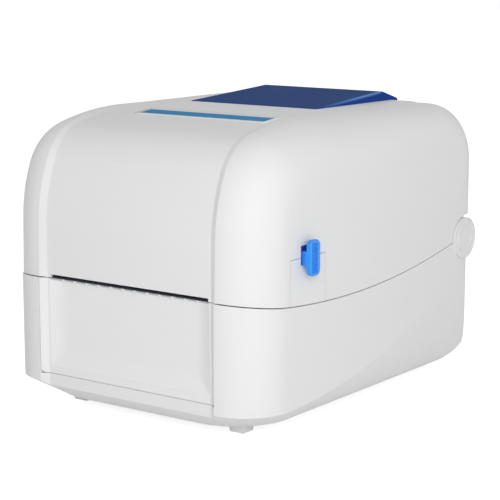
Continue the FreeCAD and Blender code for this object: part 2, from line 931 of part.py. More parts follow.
def latch_openings():
    """The place of the insert panel in the right wall, and the lever's slot above it."""
    front, rear = latch_span()
    gap = value("fit_gap")
    height = value("latch_height")
    insert = block(
        (HALF - value("insert_thick"), FAR),
        (value("insert_front"), value("insert_rear")),
        (LOW, height),
    )
    stem = value("stem_height / 2")
    lift = value("latch_lift")
    slot = block((HALF - 2 * WALL, FAR), (front - gap, rear + gap), (height - stem, height + stem + lift))
    return insert.fuse(slot)


def latch_insert():
    """Right insert panel: it fills the wall below the lever and leaves half of the lever's hole."""
    gap = value("insert_gap")
    front, rear = latch_span()
    play = value("fit_gap")
    stem = value("stem_height / 2")
    panel = block(
        (HALF - value("insert_thick"), HALF),
        (value("insert_front") + gap, value("insert_rear") - gap),
        (LOW, value("latch_height") - gap),
    )
    hole = block((0, FAR), (front - play, rear + play), (value("latch_height") - stem - play, FAR))
    return panel.common(parting_bore(-value("parting_gap / 2"))).cut(hole)


def latch_lever():
    """Right lever: a ribbed bar on a stem, a blade that closes the slot, and an arm with a nose."""
    front, rear = latch_span()
    deep = (front, rear)
    pivot = value("latch_pivot")
    height = value("latch_height")
    stem = value("stem_height / 2")
    bar_in = HALF + value("bar_stand")
    bar_out = bar_in + value("bar_thick")
    bar = value("bar_height / 2")
    arm = value("latch_arm / 2")
    low = value("latch_arm_low")
    hub_start = Vector(pivot, front, height)
    hub = Part.makeCylinder(value("latch_boss"), rear - front, hub_start, Vector(0, 1, 0))
    handle = block((bar_in, bar_out), deep, (height - bar, height + bar))
    across = [edge for edge in handle.Edges if edge.Vertexes[0].X != edge.Vertexes[1].X]
    handle = handle.makeFillet(value("bar_round"), across)
    rims = [edge for edge in handle.Edges if edge.Vertexes[0].X == edge.Vertexes[1].X]
    handle = handle.makeFillet(value("bar_edge"), rims)
    count = int(value("bar_rib_count"))
    groove = value("bar_rib_deep")
    spacing = 2 * (bar - value("bar_round / 2")) / count
    starts = [height + spacing * (index - count / 2) for index in range(count)]
    column_front = value("latch_at - bar_rib_ahead - bar_rib_width / 2")
    column = (column_front, column_front + value("bar_rib_width"))
    grooves = [
        block((bar_out - groove, FAR), column, (low_edge + spacing / 3, low_edge + spacing))
        for low_edge in starts
    ]
    blade_out = HALF - WALL - value("fit_gap")
    blade_top = height + stem + value("latch_lift + fit_gap")
    pieces = [
        block((pivot, bar_in + groove), deep, (height - stem, height + stem - value("fit_gap"))),
        block((blade_out - value("blade_thick"), blade_out), deep, (height - stem, blade_top)),
        block((pivot - arm, pivot + arm), deep, (low, height)),
        block(
            (pivot - arm - value("latch_nose"), pivot),
            deep,
            (low, low + value("latch_nose_high")),
        ),
        handle.cut(grooves),
    ]
    bore = Part.makeCylinder(
        value("latch_pin + running_play"), FAR, Vector(pivot, -FAR / 2, height), Vector(0, 1, 0)
    )
    return hub.fuse(pieces).cut(bore)


def upright_plan(half, low, high, low_round, high_round, deep):
    """A rounded rectangle seen from the front, at a depth behind the front strip."""
    wire = plan(half, low, high, low_round, high_round, -deep)
    wire.rotate(Vector(), Vector(1, 0, 0), 90)
    return wire


def front_panel():
    """Removable front panel between the cheeks, with a shallow dish and a ribbed upper lip."""
    gap = value("fit_gap")
    top = value("parting_front - parting_gap / 2")
    low = value("panel_bottom") + gap
    panel = Part.Face(upright_plan(STEP - gap, low, top, value("panel_corner"), gap, CHEEK))
    panel = panel.extrude(Vector(0, value("panel_thick") - CHEEK, 0)).cut(strip_recess(0))
    rim = value("dish_rim")
    corner = value("dish_round")
    steps = int(value("dish_steps"))
    rings = []
    for step in range(steps + 1):
        inset = rim + value("dish_slope") * step / steps
        deep = value("dish_deep") * math.sin(math.pi / 2 * step / steps)
        bottom = low + value("dish_foot") - rim + inset
        rings.append(upright_plan(STRIP - inset, bottom, top - inset, corner, corner, deep))
    panel = panel.cut(Part.makeLoft(rings, True, True))
    pitch = value("lip_rib_pitch")
    count = int(value("lip_rib_count"))
    width = value("lip_rib_width / 2")
    deep = (0, value("lip_rib_deep"))
    high = (top - width, top + value("lip_rib_rise"))
    places = [pitch * (index - (count - 1) / 2) for index in range(count)]
    ribs = [block((x - width, x + width), deep, high) for x in places]
    return panel.fuse(ribs)


def tear_bar():
    """Steel strip with a saw-toothed front edge, on the lip of the front panel."""
    half = value("slot_width / 2 - fit_gap")
    tips = value("tear_bar_front")
    web_front = value("panel_thick + fit_gap")
    rear = value("platen_at - platen_round - fit_gap")
    count = round(2 * half / value("tear_tooth"))
    tooth = 2 * half / count
    top = value("parting_front - parting_gap / 2")
    outline = [Vector(-half, rear, top)]
    for index in range(count):
        outline.append(Vector(-half + index * tooth, tips, top))
        outline.append(Vector(-half + (index + 0.5) * tooth, tips + tooth / 2, top))
    outline.append(Vector(half, tips, top))
    outline.append(Vector(half, rear, top))
    strip = Part.Face(Part.makePolygon([*outline, outline[0]]))
    strip = strip.extrude(Vector(0, 0, value("tear_bar_thick")))
    return strip.fuse(block((-half, half), (web_front, rear), (top - value("tear_bar_low"), top)))


def top_window():
    """Clear wedge with an even wall, open underneath over the window in the roof."""
    wedge = window_wedge(0, value("window_seat"))
    thick = value("window_wall")
    half = value("window_width / 2") - thick
    hollow = wedge.copy()
    hollow.translate(Vector(0, 0, -thick))
    inside = block((-half, half), (value("window_front") + thick, value("window_rear") - thick), (0, FAR))
    return wedge.cut(hollow.common(inside))


def idler_place():
    """Where the idler meshes with both the platen's gear and the motor's pinion."""
    platen = Vector(0, value("platen_at"), value("platen_height"))
    motor = Vector(0, value("motor_at"), value("motor_height"))
    module = value("gear_module")
    to_platen = module * value("platen_teeth + idler_teeth") / 2
    to_motor = module * value("motor_teeth + idler_teeth") / 2
    across = motor - platen
    along = (to_platen**2 - to_motor**2 + across.Length**2) / (2 * across.Length)
    aside = math.sqrt(to_platen**2 - along**2)
    way = across.normalize()
    return platen + way * along + Vector(0, way.z, -way.y) * aside


def bearing(start, end):
    """Angle from one shaft to another, as seen along X."""
    return math.atan2(end.z - start.z, end.y - start.y)


def drive_gears():
    """The three gears of the drive, turned so that their teeth mesh."""
    idler = idler_place()
    platen = Vector(0, value("platen_at"), value("platen_height"))
    motor = Vector(0, value("motor_at"), value("motor_height"))
    teeth = {name: int(value(f"{name}_teeth")) for name in ("platen", "idler", "motor")}
    idler_phase = bearing(idler, motor) + math.pi / teeth["idler"]
    motor_phase = bearing(motor, idler)
    toward = bearing(idler, platen)
    lag = (toward - idler_phase) * teeth["idler"] / teeth["platen"]
    platen_phase = toward + math.pi + lag + math.pi / teeth["platen"]
    return {
        "platen": x_gear(teeth["platen"], platen_phase, platen.y, platen.z),
        "idler": x_gear(teeth["idler"], idler_phase, idler.y, idler.z),
        "motor": x_gear(teeth["motor"], motor_phase, motor.y, motor.z),
    }


def bored(gear, radius, place):
    """A gear of the drive with its bore."""
    return gear.cut(x_rod(radius, -FAR, FAR, place.y, place.z))


def guide_rack():
    """Toothed rack of the left roll holder, which crosses in front of the pinion."""
    module = value("rack_module")
    pitch = math.pi * module
    line = value("holder_at") - module * value("guide_teeth") / 2
    root = line - 1.25 * module
    tip = line + module
    back = root - value("rack_body")
    slope = math.tan(PRESSURE_ANGLE)
    half = pitch / 4 - value("backlash / 2")
    start, end = -value("holder_inner + holder_thick"), value("rack_reach")
    low = value("rack_low")
    outline = [Vector(start, back, low), Vector(start, root, low)]
    first = math.ceil((start + pitch) / pitch)
    last = math.floor((end - pitch) / pitch)
    for index in range(first, last + 1):
        middle = (index + 0.5) * pitch
        outline.append(Vector(middle - half - (line - root) * slope, root, low))
        outline.append(Vector(middle - half + (tip - line) * slope, tip, low))
        outline.append(Vector(middle + half - (tip - line) * slope, tip, low))
        outline.append(Vector(middle + half + (line - root) * slope, root, low))
    outline.append(Vector(end, root, low))
    outline.append(Vector(end, back, low))
    return Part.Face(Part.makePolygon([*outline, outline[0]])).extrude(Vector(0, 0, value("rack_high")))


def guide_pinion():
    """Pinion between the two racks, on an upright post."""
    teeth = int(value("guide_teeth"))
    gear = Part.Face(Part.Wire(gear_outline(teeth, value("rack_module"), 0, 0)))
    gear = gear.extrude(Vector(value("rack_high"), 0, 0))
    gear.rotate(Vector(), Vector(0, 1, 0), -90)
    gear.translate(Vector(0, value("holder_at"), value("rack_low")))
    post_foot = Vector(0, value("holder_at"), 0)
    post = Part.makeCylinder(value("guide_post + running_play"), FAR, post_foot)
    return gear.cut(post)


def head_spring():
    """Right coil spring between the press bar and the carriage."""
    wire = value("spring_wire")
    low = value(CARRIAGE_TOP) + wire
    high = value("press_bar_height") - wire
    place = Vector(value("spring_spread"), value("cage_front + press_bar_deep / 2"), low)
    radius = value("spring_round")
    coil = Part.makeHelix((high - low) / value("spring_turns"), high - low, radius)
    coil.translate(place)
    section = Part.Wire(Part.makeCircle(wire, place + Vector(radius, 0, 0), Vector(0, 1, 0)))
    return Part.Wire(coil.Edges).makePipeShell([section], True, True)


# Heights and lines that several pieces share
FLOOR = "foot_height + wall"
REAR = "depth - cheek_step - base_setback"
HEAD_BOTTOM = "platen_height + platen_round + head_gap"
SINK_BOTTOM = f"{HEAD_BOTTOM} + head_strip_thick"
SINK_TOP = f"{SINK_BOTTOM} + sink_high"
CARRIAGE_TOP = f"{SINK_TOP} + carriage_sheet"
RACK_ROOT = "holder_at - rack_module * guide_teeth / 2 - 1.25 * rack_module"
RACK_BACK = f"{RACK_ROOT} - rack_body"
LATCH_FRONT = "latch_at - latch_deep / 2"
LATCH_REAR = "latch_at + latch_deep / 2"
SCREW_LINE = "cover_half - cover_lip / 2"
SCREW_ROWS = ("cover_front + cover_lip / 2", "holder_at - cover_screw_ahead", "cover_rear - cover_lip / 2")


def bottom_cover():
    """Hatch plate in the bottom, with holes for its screws."""
    hatch = box(
        around("0", "cover_half"),
        ("cover_front", "cover_rear"),
        ("foot_height", "foot_height + cover_thick"),
    )
    holes = [
        rod("z", "cover_screw + fit_gap", ("0", "foot_height + 2 * cover_thick"), x=SCREW_LINE, y=row)
        for row in SCREW_ROWS
    ]
    return cut(hatch, pair(fuse(*holes)))


def bottom_screws():
    """Six screws with flat round heads."""
    screws = []
    head = ("foot_height - cover_screw_head_thick", "foot_height")
    shank = ("foot_height", "foot_height + cover_screw_length")
    for row in SCREW_ROWS:
        screws.append(rod("z", "cover_screw_head", head, x=SCREW_LINE, y=row))
        screws.append(rod("z", "cover_screw", shank, x=SCREW_LINE, y=row))
    return pair(fuse(*screws))


def rubber_feet():
    """Four square feet that narrow towards the table."""
    feet = []
    for row in ("foot_front", "foot_rear"):
        foot = doc.addObject("Part::Wedge", "Foot")
        foot.Placement = Placement(Vector(), Rotation(Vector(1, 0, 0), 90))
        for low, high, half in (
            ("Xmin", "Xmax", "foot_size / 2 - foot_draft"),
            ("Zmin", "Zmax", "foot_size / 2 - foot_draft"),
            ("X2min", "X2max", "foot_size / 2"),
            ("Z2min", "Z2max", "foot_size / 2"),
        ):
            foot.setExpression(low, bound(f"-1 * ({half})"))
            foot.setExpression(high, bound(half))
        foot.Ymin = 0
        foot.setExpression("Ymax", bound("foot_height"))
        foot.setExpression("Placement.Base.x", bound("foot_spread"))
        foot.setExpression("Placement.Base.y", bound(f"{row} + {FRONT}"))
        feet.append(foot)
    return pair(fuse(*feet))


def platen_frame():
    """Two upright plates and a tie plate that carry the platen, the motor and the sensor rail."""
    outline = [
        ("frame_toe", FLOOR),
        ("frame_front", f"{FLOOR} + frame_toe_rise"),
        ("frame_front", "frame_top"),
        ("frame_shoulder", "frame_top"),
        ("frame_rear", "frame_top - frame_shoulder_drop"),
        ("frame_rear", FLOOR),
    ]
    span = ("frame_half - frame_sheet", "frame_half")
    plates = pair(plate("FramePlate", outline, span))
    tie = box(
        around("0", "frame_half - frame_sheet"),
        ("frame_tie_front", "frame_tie_rear"),
        (FLOOR, f"{FLOOR} + frame_sheet"),
    )
    across = around("0", "frame_half + fit_gap")
    left = ("-1 * frame_half - fit_gap", "0")
    idler = idler_place()
    reach = -value("frame_half + fit_gap")
    pin_hole = tool(x_rod(value("idler_pin + seat_play"), reach, 0, idler.y, idler.z))
    return cut(
        fuse(plates, tie),
        rod("x", "bush_round + seat_play", across, y="platen_at", z="platen_height"),
        rod("x", "rail_round + seat_play", across, y="rail_at", z="rail_height"),
        rod("x", "motor_pilot + seat_play", left, y="motor_at", z="motor_height"),
        pin_hole,
    )


def platen_bushes():
    """Flanged bushes in the two frame plates."""
    at = {"y": "platen_at", "z": "platen_height"}
    sleeve = rod("x", "bush_round", ("frame_half - frame_sheet", "frame_half"), **at)
    flange = rod("x", "bush_flange", ("frame_half - 2 * frame_sheet", "frame_half - frame_sheet"), **at)
    bore = rod("x", "shaft_round + running_play", around("0", "frame_half + fit_gap"), **at)
    return cut(pair(fuse(sleeve, flange)), bore)


def drive_motor():
    """Square stepping motor on the left plate, with cut corners, a pilot and a shaft hole."""
    at = {"y": "motor_at", "z": "motor_height"}
    face = "-1 * frame_half + frame_sheet"
    length = (face, f"{face} + motor_length")
    square = box(length, around("motor_at", "motor_size / 2"), around("motor_height", "motor_size / 2"))
    round_off = rod("x", "motor_size / 2 + motor_chamfer", length, **at)
    pilot = rod("x", "motor_pilot", ("-1 * frame_half", face), **at)
    hole = rod("x", "motor_shaft + running_play", ("-1 * frame_half", f"{face} + motor_shaft_depth"), **at)
    return cut(fuse(common(square, round_off), pilot), hole)


def idler_pin():
    """Pin of the idler, with a collar behind the gear and a head in front of it."""
    place = idler_place()
    plate_face = -value("frame_half")
    inner = -value("gear_plane") + value("side_play")
    outer = -value("gear_plane + gear_width") - value("side_play")
    tip = outer - value("shaft_end")
    pin = x_rod(value("idler_pin"), tip, plate_face + value("frame_sheet"), place.y, place.z)
    collar = x_rod(value("idler_collar"), inner, plate_face, place.y, place.z)
    head = x_rod(value("idler_collar"), tip, outer, place.y, place.z)
    return pin.fuse([collar, head])


def media_tray():
    """Tray with the roll bay, its sloping front deck, side walls and the pinion's post."""
    trough = plate(
        "TrayTrough",
        [
            ("deck_front", "deck_height"),
            ("bay_front", "bay_front_height"),
            ("bay_floor_front", "bay_floor"),
            ("bay_floor_rear", "bay_floor"),
            ("bay_rear", "bay_rear_height"),
            ("bay_rear + tray_sheet", "bay_rear_height"),
            ("bay_floor_rear + tray_sheet", "bay_floor - tray_sheet"),
            ("bay_floor_front - tray_sheet", "bay_floor - tray_sheet"),
            ("bay_front - tray_sheet", "bay_front_height - tray_sheet"),
            ("deck_front", "deck_height - tray_sheet"),
        ],
        around("0", "tray_half"),
    )
    wall_start = "frame_rear + fit_gap"
    cheek = plate(
        "TrayWall",
        [
            (wall_start, "bay_front_height - tray_sheet"),
            ("bay_floor_front - tray_sheet", "bay_floor - tray_sheet"),
            ("bay_floor_rear + tray_sheet", "bay_floor - tray_sheet"),
            ("bay_rear + tray_sheet", "bay_rear_height"),
            ("tray_rim_turn", "tray_rim"),
            (wall_start, "tray_rim"),
        ],
        ("tray_half - tray_sheet", "tray_half"),
    )
    beside_deck = box(
        ("frame_half - frame_sheet - fit_gap", "tray_half + fit_gap"),
        ("deck_front - fit_gap", wall_start),
        ("bay_floor", "frame_top"),
    )
    slot = box(
        ("-1 * holder_inner - holder_thick - holder_out - fit_gap", "holder_in - holder_inner + fit_gap"),
        (f"{RACK_BACK} - fit_gap", f"{RACK_ROOT} + fit_gap"),
        ("bay_floor - 2 * tray_sheet", "bay_floor + tray_sheet"),
    )
    twin_slot = box(
        ("holder_inner - holder_in - fit_gap", "holder_inner + holder_thick + holder_out + fit_gap"),
        (f"2 * holder_at - ({RACK_ROOT}) - fit_gap", f"2 * holder_at - ({RACK_BACK}) + fit_gap"),
        ("bay_floor - 2 * tray_sheet", "bay_floor + tray_sheet"),
    )
    post_foot = "rack_low - side_play"
    post = rod("z", "guide_post", (post_foot, "bay_floor - tray_sheet"), y="holder_at")
    head_span = (f"{post_foot} - guide_post_head_thick", post_foot)
    post_head = rod("z", "guide_post_head", head_span, y="holder_at")
    body = cut(fuse(trough, pair(cheek)), pair(beside_deck), slot, twin_slot)
    return fuse(body, post, post_head)


def roll_holder():
    """Left roll holder: an upright with a core hub, a foot through the tray and its rack."""
    inner = "-1 * holder_inner"
    outer = f"{inner} - holder_thick"
    upright = plate(
        "HolderUpright",
        [
            ("holder_at - holder_width / 2", "bay_floor + fit_gap"),
            ("holder_at + holder_width / 2", "bay_floor + fit_gap"),
            ("holder_at + holder_neck / 2", "holder_height"),
            ("holder_at - holder_neck / 2", "holder_height"),
        ],
        (outer, inner),
    )
    disc = rod("x", "hub_round", (outer, inner), y="holder_at", z="holder_height")
    core = rod("x", "core_round", (inner, f"{inner} + core_length"), y="holder_at", z="holder_height")
    leg = box((outer, inner), (RACK_BACK, RACK_ROOT), ("rack_low", "bay_floor + holder_thick"))
    return fuse(upright, disc, core, leg, tool(guide_rack()))


def turned(piece):
    """The right roll holder: the left one turned half round about the pinion's post."""
    twin = doc.addObject("Part::Feature", "Turned")
    doc.recompute()
    shape = piece.Shape.copy()
    shape.rotate(Vector(0, value(f"holder_at + {FRONT}"), 0), Vector(0, 0, 1), 180)
    twin.Shape = shape
    return twin


def media_sensor():
    """Small block that slides on the rail."""
    body = box(
        around("0", "sensor_width / 2"),
        around("rail_at", "sensor_deep / 2"),
        around("rail_height", "sensor_high / 2"),
    )
    bore = rod("x", "rail_round + running_play", around("0", "sensor_width"), y="rail_at", z="rail_height")
    return cut(body, bore)


def latch_keepers():
    """Steel catches on the frame plates, just inside the levers' noses."""
    low = "latch_arm_low + latch_nose_high + keeper_drop"
    reach = "latch_pivot - latch_arm / 2 - latch_nose - fit_gap"
    return pair(box(("frame_half", reach), (LATCH_FRONT, LATCH_REAR), (low, f"{low} + keeper_thick")))


def mechanism_frame():
    """Cage under the roof: two plates, a roof plate and the press bar for the head springs."""
    outline = [
        ("cage_front", "cage_low"),
        ("cage_waist", "cage_low"),
        ("cage_rear", "cage_rear_low"),
        ("cage_rear", "cage_rear_high"),
        ("cage_roof_rear", "cage_top"),
        ("cage_roof_front", "cage_top"),
        ("cage_front", "cage_brow"),
    ]
    plates = pair(plate("CagePlate", outline, ("cage_half - cage_sheet", "cage_half")))
    roof = box(
        around("0", "cage_half - cage_sheet"),
        ("cage_roof_front", "cage_roof_rear"),
        ("cage_top - cage_sheet", "cage_top"),
    )
    press_bar = box(
        around("0", "cage_half - cage_sheet"),
        ("cage_front", "cage_front + press_bar_deep"),
        ("press_bar_height", "press_bar_height + press_bar_thick"),
    )
    across = around("0", "cage_half + fit_gap")
    return cut(
        fuse(plates, roof, press_bar),
        rod("x", "spindle_stub + running_play", across, y="takeup_at", z="takeup_height"),
        rod("x", "spindle_stub + running_play", across, y="supply_at", z="supply_height"),
        rod("x", "head_pivot_pin + running_play", across, y="head_pivot_at", z="head_pivot_height"),
    )


def ribbon_spindle(y, z):
    """Spindle for a ribbon core, with two flanges, a stub at each end and a knob on the right."""
    flange_out = "cage_half - cage_sheet - spindle_gap"
    flange_in = f"{flange_out} - spindle_flange_thick"
    stub_end = "cage_half + fit_gap"
    at = {"y": y, "z": z}
    flange = rod("x", "spindle_flange", (flange_in, flange_out), **at)
    return fuse(
        rod("x", "spindle_round", around("0", flange_in), **at),
        flange,
        mirrored(flange),
        rod("x", "spindle_stub", around("0", stub_end), **at),
        rod("x", "spindle_knob", (stub_end, f"{stub_end} + spindle_knob_thick"), **at),
    )


def head_carriage():
    """Plate over the heat sink, with an ear and a pivot pin at each side of its rear edge."""
    top = box(around("0", "carriage_half"), ("head_front", "ear_rear"), (SINK_TOP, CARRIAGE_TOP))
    ear = box(
        ("carriage_half - carriage_sheet", "carriage_half"),
        ("ear_front", "ear_rear"),
        (SINK_TOP, "head_pivot_height + ear_rise"),
    )
    reach = ("carriage_half - carriage_sheet", "cage_half")
    pin = rod("x", "head_pivot_pin", reach, y="head_pivot_at", z="head_pivot_height")
    return fuse(top, pair(fuse(ear, pin)))


def thermal_head():
    """Ceramic strip that presses the ribbon and the label on the platen."""
    deep = ("head_front", "head_front + head_strip_deep")
    return box(around("0", "head_half"), deep, (HEAD_BOTTOM, SINK_BOTTOM))


def heat_sink():
    """Finned aluminium bar behind the ceramic strip."""
    deep = ("head_front", "head_front + sink_deep")
    bar = box(around("0", "head_half"), deep, (SINK_BOTTOM, SINK_TOP))
    slots = []
    pitch = "(sink_deep - sink_fin) / sink_slot_count"
    for index in range(int(value("sink_slot_count"))):
        start = f"head_front + sink_fin + {index} * {pitch}"
        slots.append(
            box(
                around("0", "head_half + fit_gap"),
                (start, f"{start} + {pitch} - sink_fin"),
                (f"{SINK_BOTTOM} + sink_base", f"{SINK_TOP} - sink_fin"),
            )
        )
    return cut(bar, *slots)


def rear_socket(x, width, height):
    """Body of a socket, from the board to the outside of the rear wall."""
    deep = (f"{REAR} - board_gap", REAR)
    return box(around(x, f"{width} / 2"), deep, around("socket_height", f"{height} / 2"))


def power_socket():
    """Round power inlet with a centre pin."""
    at = {"x": "-1 * power_at", "z": "socket_height"}
    body = rear_socket("-1 * power_at", "power_size", "power_size")
    bore = rod("y", "power_bore", (f"{REAR} - socket_deep", f"{REAR} + wall"), **at)
    pin = rod("y", "power_pin", (f"{REAR} - socket_deep - wall", f"{REAR} - wall"), **at)
    return fuse(cut(body, bore), pin)


def usb_socket():
    """Square data socket with a tongue."""
    body = rear_socket("usb_at", "usb_width", "usb_height")
    mouth = box(
        around("usb_at", "usb_width / 2 - usb_shell"),
        (f"{REAR} - socket_deep", f"{REAR} + wall"),
        around("socket_height", "usb_height / 2 - usb_shell"),
    )
    tongue = box(
        around("usb_at", "usb_width / 4"),
        (f"{REAR} - socket_deep - wall", f"{REAR} - wall"),
        around("socket_height", "usb_tongue / 2"),
    )
    return fuse(cut(body, mouth), tongue)


def power_switch():
    """Switch body with a lip that rests on the rear wall and a well for the rocker."""
    at = "-1 * switch_at"
    body = box(
        around(at, "switch_width / 2"),
        (f"{REAR} - switch_deep", REAR),
        around("socket_height", "switch_height / 2"),
    )
    lip = box(
        around(at, "switch_width / 2 + switch_bezel"),
        (REAR, f"{REAR} + switch_lip"),
        around("socket_height", "switch_height / 2 + switch_bezel"),
    )
    well = box(
        around(at, "switch_width / 2 - switch_bezel"),
        (f"{REAR} - rocker_well", f"{REAR} + wall"),
        around("socket_height", "switch_height / 2 - switch_bezel"),
    )
    reach = "switch_width / 2 - switch_bezel + rocker_pin_reach"
    pivot = rod("x", "rocker_pin + running_play", around(at, reach), y=REAR, z="socket_height")
    return cut(fuse(body, lip), well, pivot)


def power_rocker():
    """Rocker with a dished front, on two short pins."""
    half = "switch_height / 2 - switch_bezel - rocker_play"
    side = "switch_width / 2 - switch_bezel - side_play"
    key = plate(
        "RockerKey",
        [
            (f"{REAR} - rocker_back", f"socket_height - ({half})"),
            (f"{REAR} + rocker_front", f"socket_height - ({half})"),
            (f"{REAR} + rocker_front - rocker_dip", "socket_height"),
            (f"{REAR} + rocker_front", f"socket_height + {half}"),
            (f"{REAR} - rocker_back", f"socket_height + {half}"),
        ],
        around("-1 * switch_at", side),
    )
    reach = f"{side} + rocker_pin_reach"
    return fuse(key, rod("x", "rocker_pin", around("-1 * switch_at", reach), y=REAR, z="socket_height"))


def interface_board():
    """Circuit board that the two sockets stand on."""
    face = f"{REAR} - board_gap"
    sheet_span = (f"{face} - board_sheet", face)
    return box(("-1 * board_left", "board_right"), sheet_span, ("board_low", "board_high"))


def build_base():
    """Everything that stays with the base when the lid opens."""
    platen = {"y": "platen_at", "z": "platen_height"}
    feature("base_shell", housing())
    feature("front_panel", front_panel())
    feature("tear_bar", tear_bar())
    node("bottom_cover", bottom_cover())
    node("bottom_screws", bottom_screws())
    node("rubber_feet", rubber_feet())
    node("platen_frame", platen_frame())
    node("platen_bushes", platen_bushes())
    node("drive_motor", drive_motor())
    feature("idler_pin", idler_pin())
    node("media_tray", media_tray())
    node("sensor_rail", rod("x", "rail_round", around("0", "frame_half"), y="rail_at", z="rail_height"))
    node("latch_keepers", latch_keepers())
    node("interface_board", interface_board())
    node("power_socket", power_socket())
    node("usb_socket", usb_socket())
    node("power_switch", power_switch())
    pin = ("hinge_pin_start", "hinge_pin_start + hinge_pin_length")
    node("hinge_pins", pair(rod("x", "hinge_pin", pin, y="hinge_at", z="hinge_height")))
    shaft = ("-1 * gear_plane - gear_width - shaft_end", "frame_half + shaft_end")
    node("platen_shaft", rod("x", "shaft_round", shaft, **platen))
    sleeve = rod("x", "platen_round", around("0", "platen_width / 2"), **platen)
    bore = rod("x", "shaft_round + seat_play", around("0", "platen_width"), **platen)
    node("platen_roller", cut(sleeve, bore))
    node("media_sensor", media_sensor())
    node("power_rocker", power_rocker())


def build_drive():
    """Gears between the motor and the platen."""
    gears = drive_gears()
    platen = Vector(0, value("platen_at"), value("platen_height"))
    feature("platen_gear", bored(gears["platen"], value("shaft_round + seat_play"), platen))
    feature("idler_gear", bored(gears["idler"], value("idler_pin + running_play"), idler_place()))
    shaft = x_rod(
        value("motor_shaft"),
        -value("gear_plane + gear_width + shaft_end"),
        -value("frame_half - frame_sheet - motor_shaft_depth + shaft_end"),
        value("motor_at"),
        value("motor_height"),
    )
    feature("motor_pinion", gears["motor"].fuse(shaft))


def build_roll_holders():
    """Sliding roll holders and the pinion that keeps them central."""
    left = node("left_roll_holder", roll_holder())
    node("right_roll_holder", turned(left))
    feature("guide_pinion", guide_pinion())


def build_lid():
    """Everything that swings up with the lid."""
    feature("lid_shell", lid_shell())
    feature("top_window", top_window())
    insert = feature("right_latch_insert", latch_insert())
    node("left_latch_insert", mirrored(insert))
    lever = feature("right_latch", latch_lever())
    node("left_latch", mirrored(lever))
    span = (f"{LATCH_FRONT} - fit_gap - lug_thick", f"{LATCH_REAR} + fit_gap + lug_thick")
    node("latch_pins", pair(rod("y", "latch_pin", span, x="latch_pivot", z="latch_height")))
    node("mechanism_frame", mechanism_frame())
    node("ribbon_takeup_spindle", ribbon_spindle("takeup_at", "takeup_height"))
    node("ribbon_supply_spindle", ribbon_spindle("supply_at", "supply_height"))
    node("head_carriage", head_carriage())
    node("thermal_head", thermal_head())
    node("heat_sink", heat_sink())
    spring = tool(head_spring())
    node("head_springs", pair(spring))


def finish():
    """Stop on any failed object, then write each sub-part to its file."""
    doc.recompute()
    for item in doc.Objects:
        if {"Invalid", "Error"} & set(item.State):
            raise RuntimeError(f"{item.Label} failed: {item.State}")
    os.makedirs("parts", exist_ok=True)
    for piece in nodes:
        if piece.Shape.isNull() or not piece.Shape.isValid():
            raise RuntimeError(f"{piece.Label} has no valid shape")
        piece.Shape.exportStep(f"parts/{piece.Label}.step")
        print(piece.Label, len(piece.Shape.Solids), round(piece.Shape.Volume))


build_base()
build_drive()
build_roll_holders()
build_lid()
finish()
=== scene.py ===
"""Looks of a desktop thermal label printer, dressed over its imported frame."""
import json
import math

import bmesh
import bpy
from mathutils import Matrix, Vector
from mathutils.bvhtree import BVHTree


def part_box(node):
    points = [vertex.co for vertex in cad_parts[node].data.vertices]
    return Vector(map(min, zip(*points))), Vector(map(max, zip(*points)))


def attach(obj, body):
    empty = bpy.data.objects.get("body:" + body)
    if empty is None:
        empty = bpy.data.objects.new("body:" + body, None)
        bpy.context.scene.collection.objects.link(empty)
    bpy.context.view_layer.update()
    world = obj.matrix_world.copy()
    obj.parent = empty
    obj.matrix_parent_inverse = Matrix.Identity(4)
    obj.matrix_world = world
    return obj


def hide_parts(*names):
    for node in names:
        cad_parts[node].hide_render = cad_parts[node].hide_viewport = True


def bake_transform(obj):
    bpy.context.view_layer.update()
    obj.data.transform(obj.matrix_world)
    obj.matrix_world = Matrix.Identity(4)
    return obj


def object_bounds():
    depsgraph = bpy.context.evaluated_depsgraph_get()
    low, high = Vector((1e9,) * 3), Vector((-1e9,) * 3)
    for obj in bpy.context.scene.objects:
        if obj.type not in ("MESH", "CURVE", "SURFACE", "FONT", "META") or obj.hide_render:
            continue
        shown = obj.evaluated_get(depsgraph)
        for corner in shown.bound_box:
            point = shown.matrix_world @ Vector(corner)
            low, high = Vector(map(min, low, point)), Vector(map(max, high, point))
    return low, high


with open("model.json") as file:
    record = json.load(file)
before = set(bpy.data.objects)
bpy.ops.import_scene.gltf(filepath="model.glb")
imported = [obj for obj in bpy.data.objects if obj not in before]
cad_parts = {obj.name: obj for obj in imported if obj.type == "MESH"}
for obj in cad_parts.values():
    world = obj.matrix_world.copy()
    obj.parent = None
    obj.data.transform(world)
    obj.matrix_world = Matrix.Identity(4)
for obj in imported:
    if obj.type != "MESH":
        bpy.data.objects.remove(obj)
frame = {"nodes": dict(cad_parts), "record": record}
cad_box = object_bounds()

bl_info = {
    "name": "Label Printer Looks",
    "version": (1, 0, 0),
    "blender": (4, 5, 0),
    "location": "View3D > Sidebar > Printer",
    "description": "Finishes, front panel, film and studio for a desktop label printer",
    "category": "Object",
}

# Each kind of surface: its name, the stretch of its pattern and its cloudy patches per metre
KINDS = {
    "moulded": ("Moulded grain", (1, 1, 1), 18.0),
    "brushed": ("Brushed metal", (0.02, 1, 1), 60.0),
}
# Share of the fine grain in a surface's tone: the rest comes from its cloudy patches
GRAIN_SHARE = 0.35
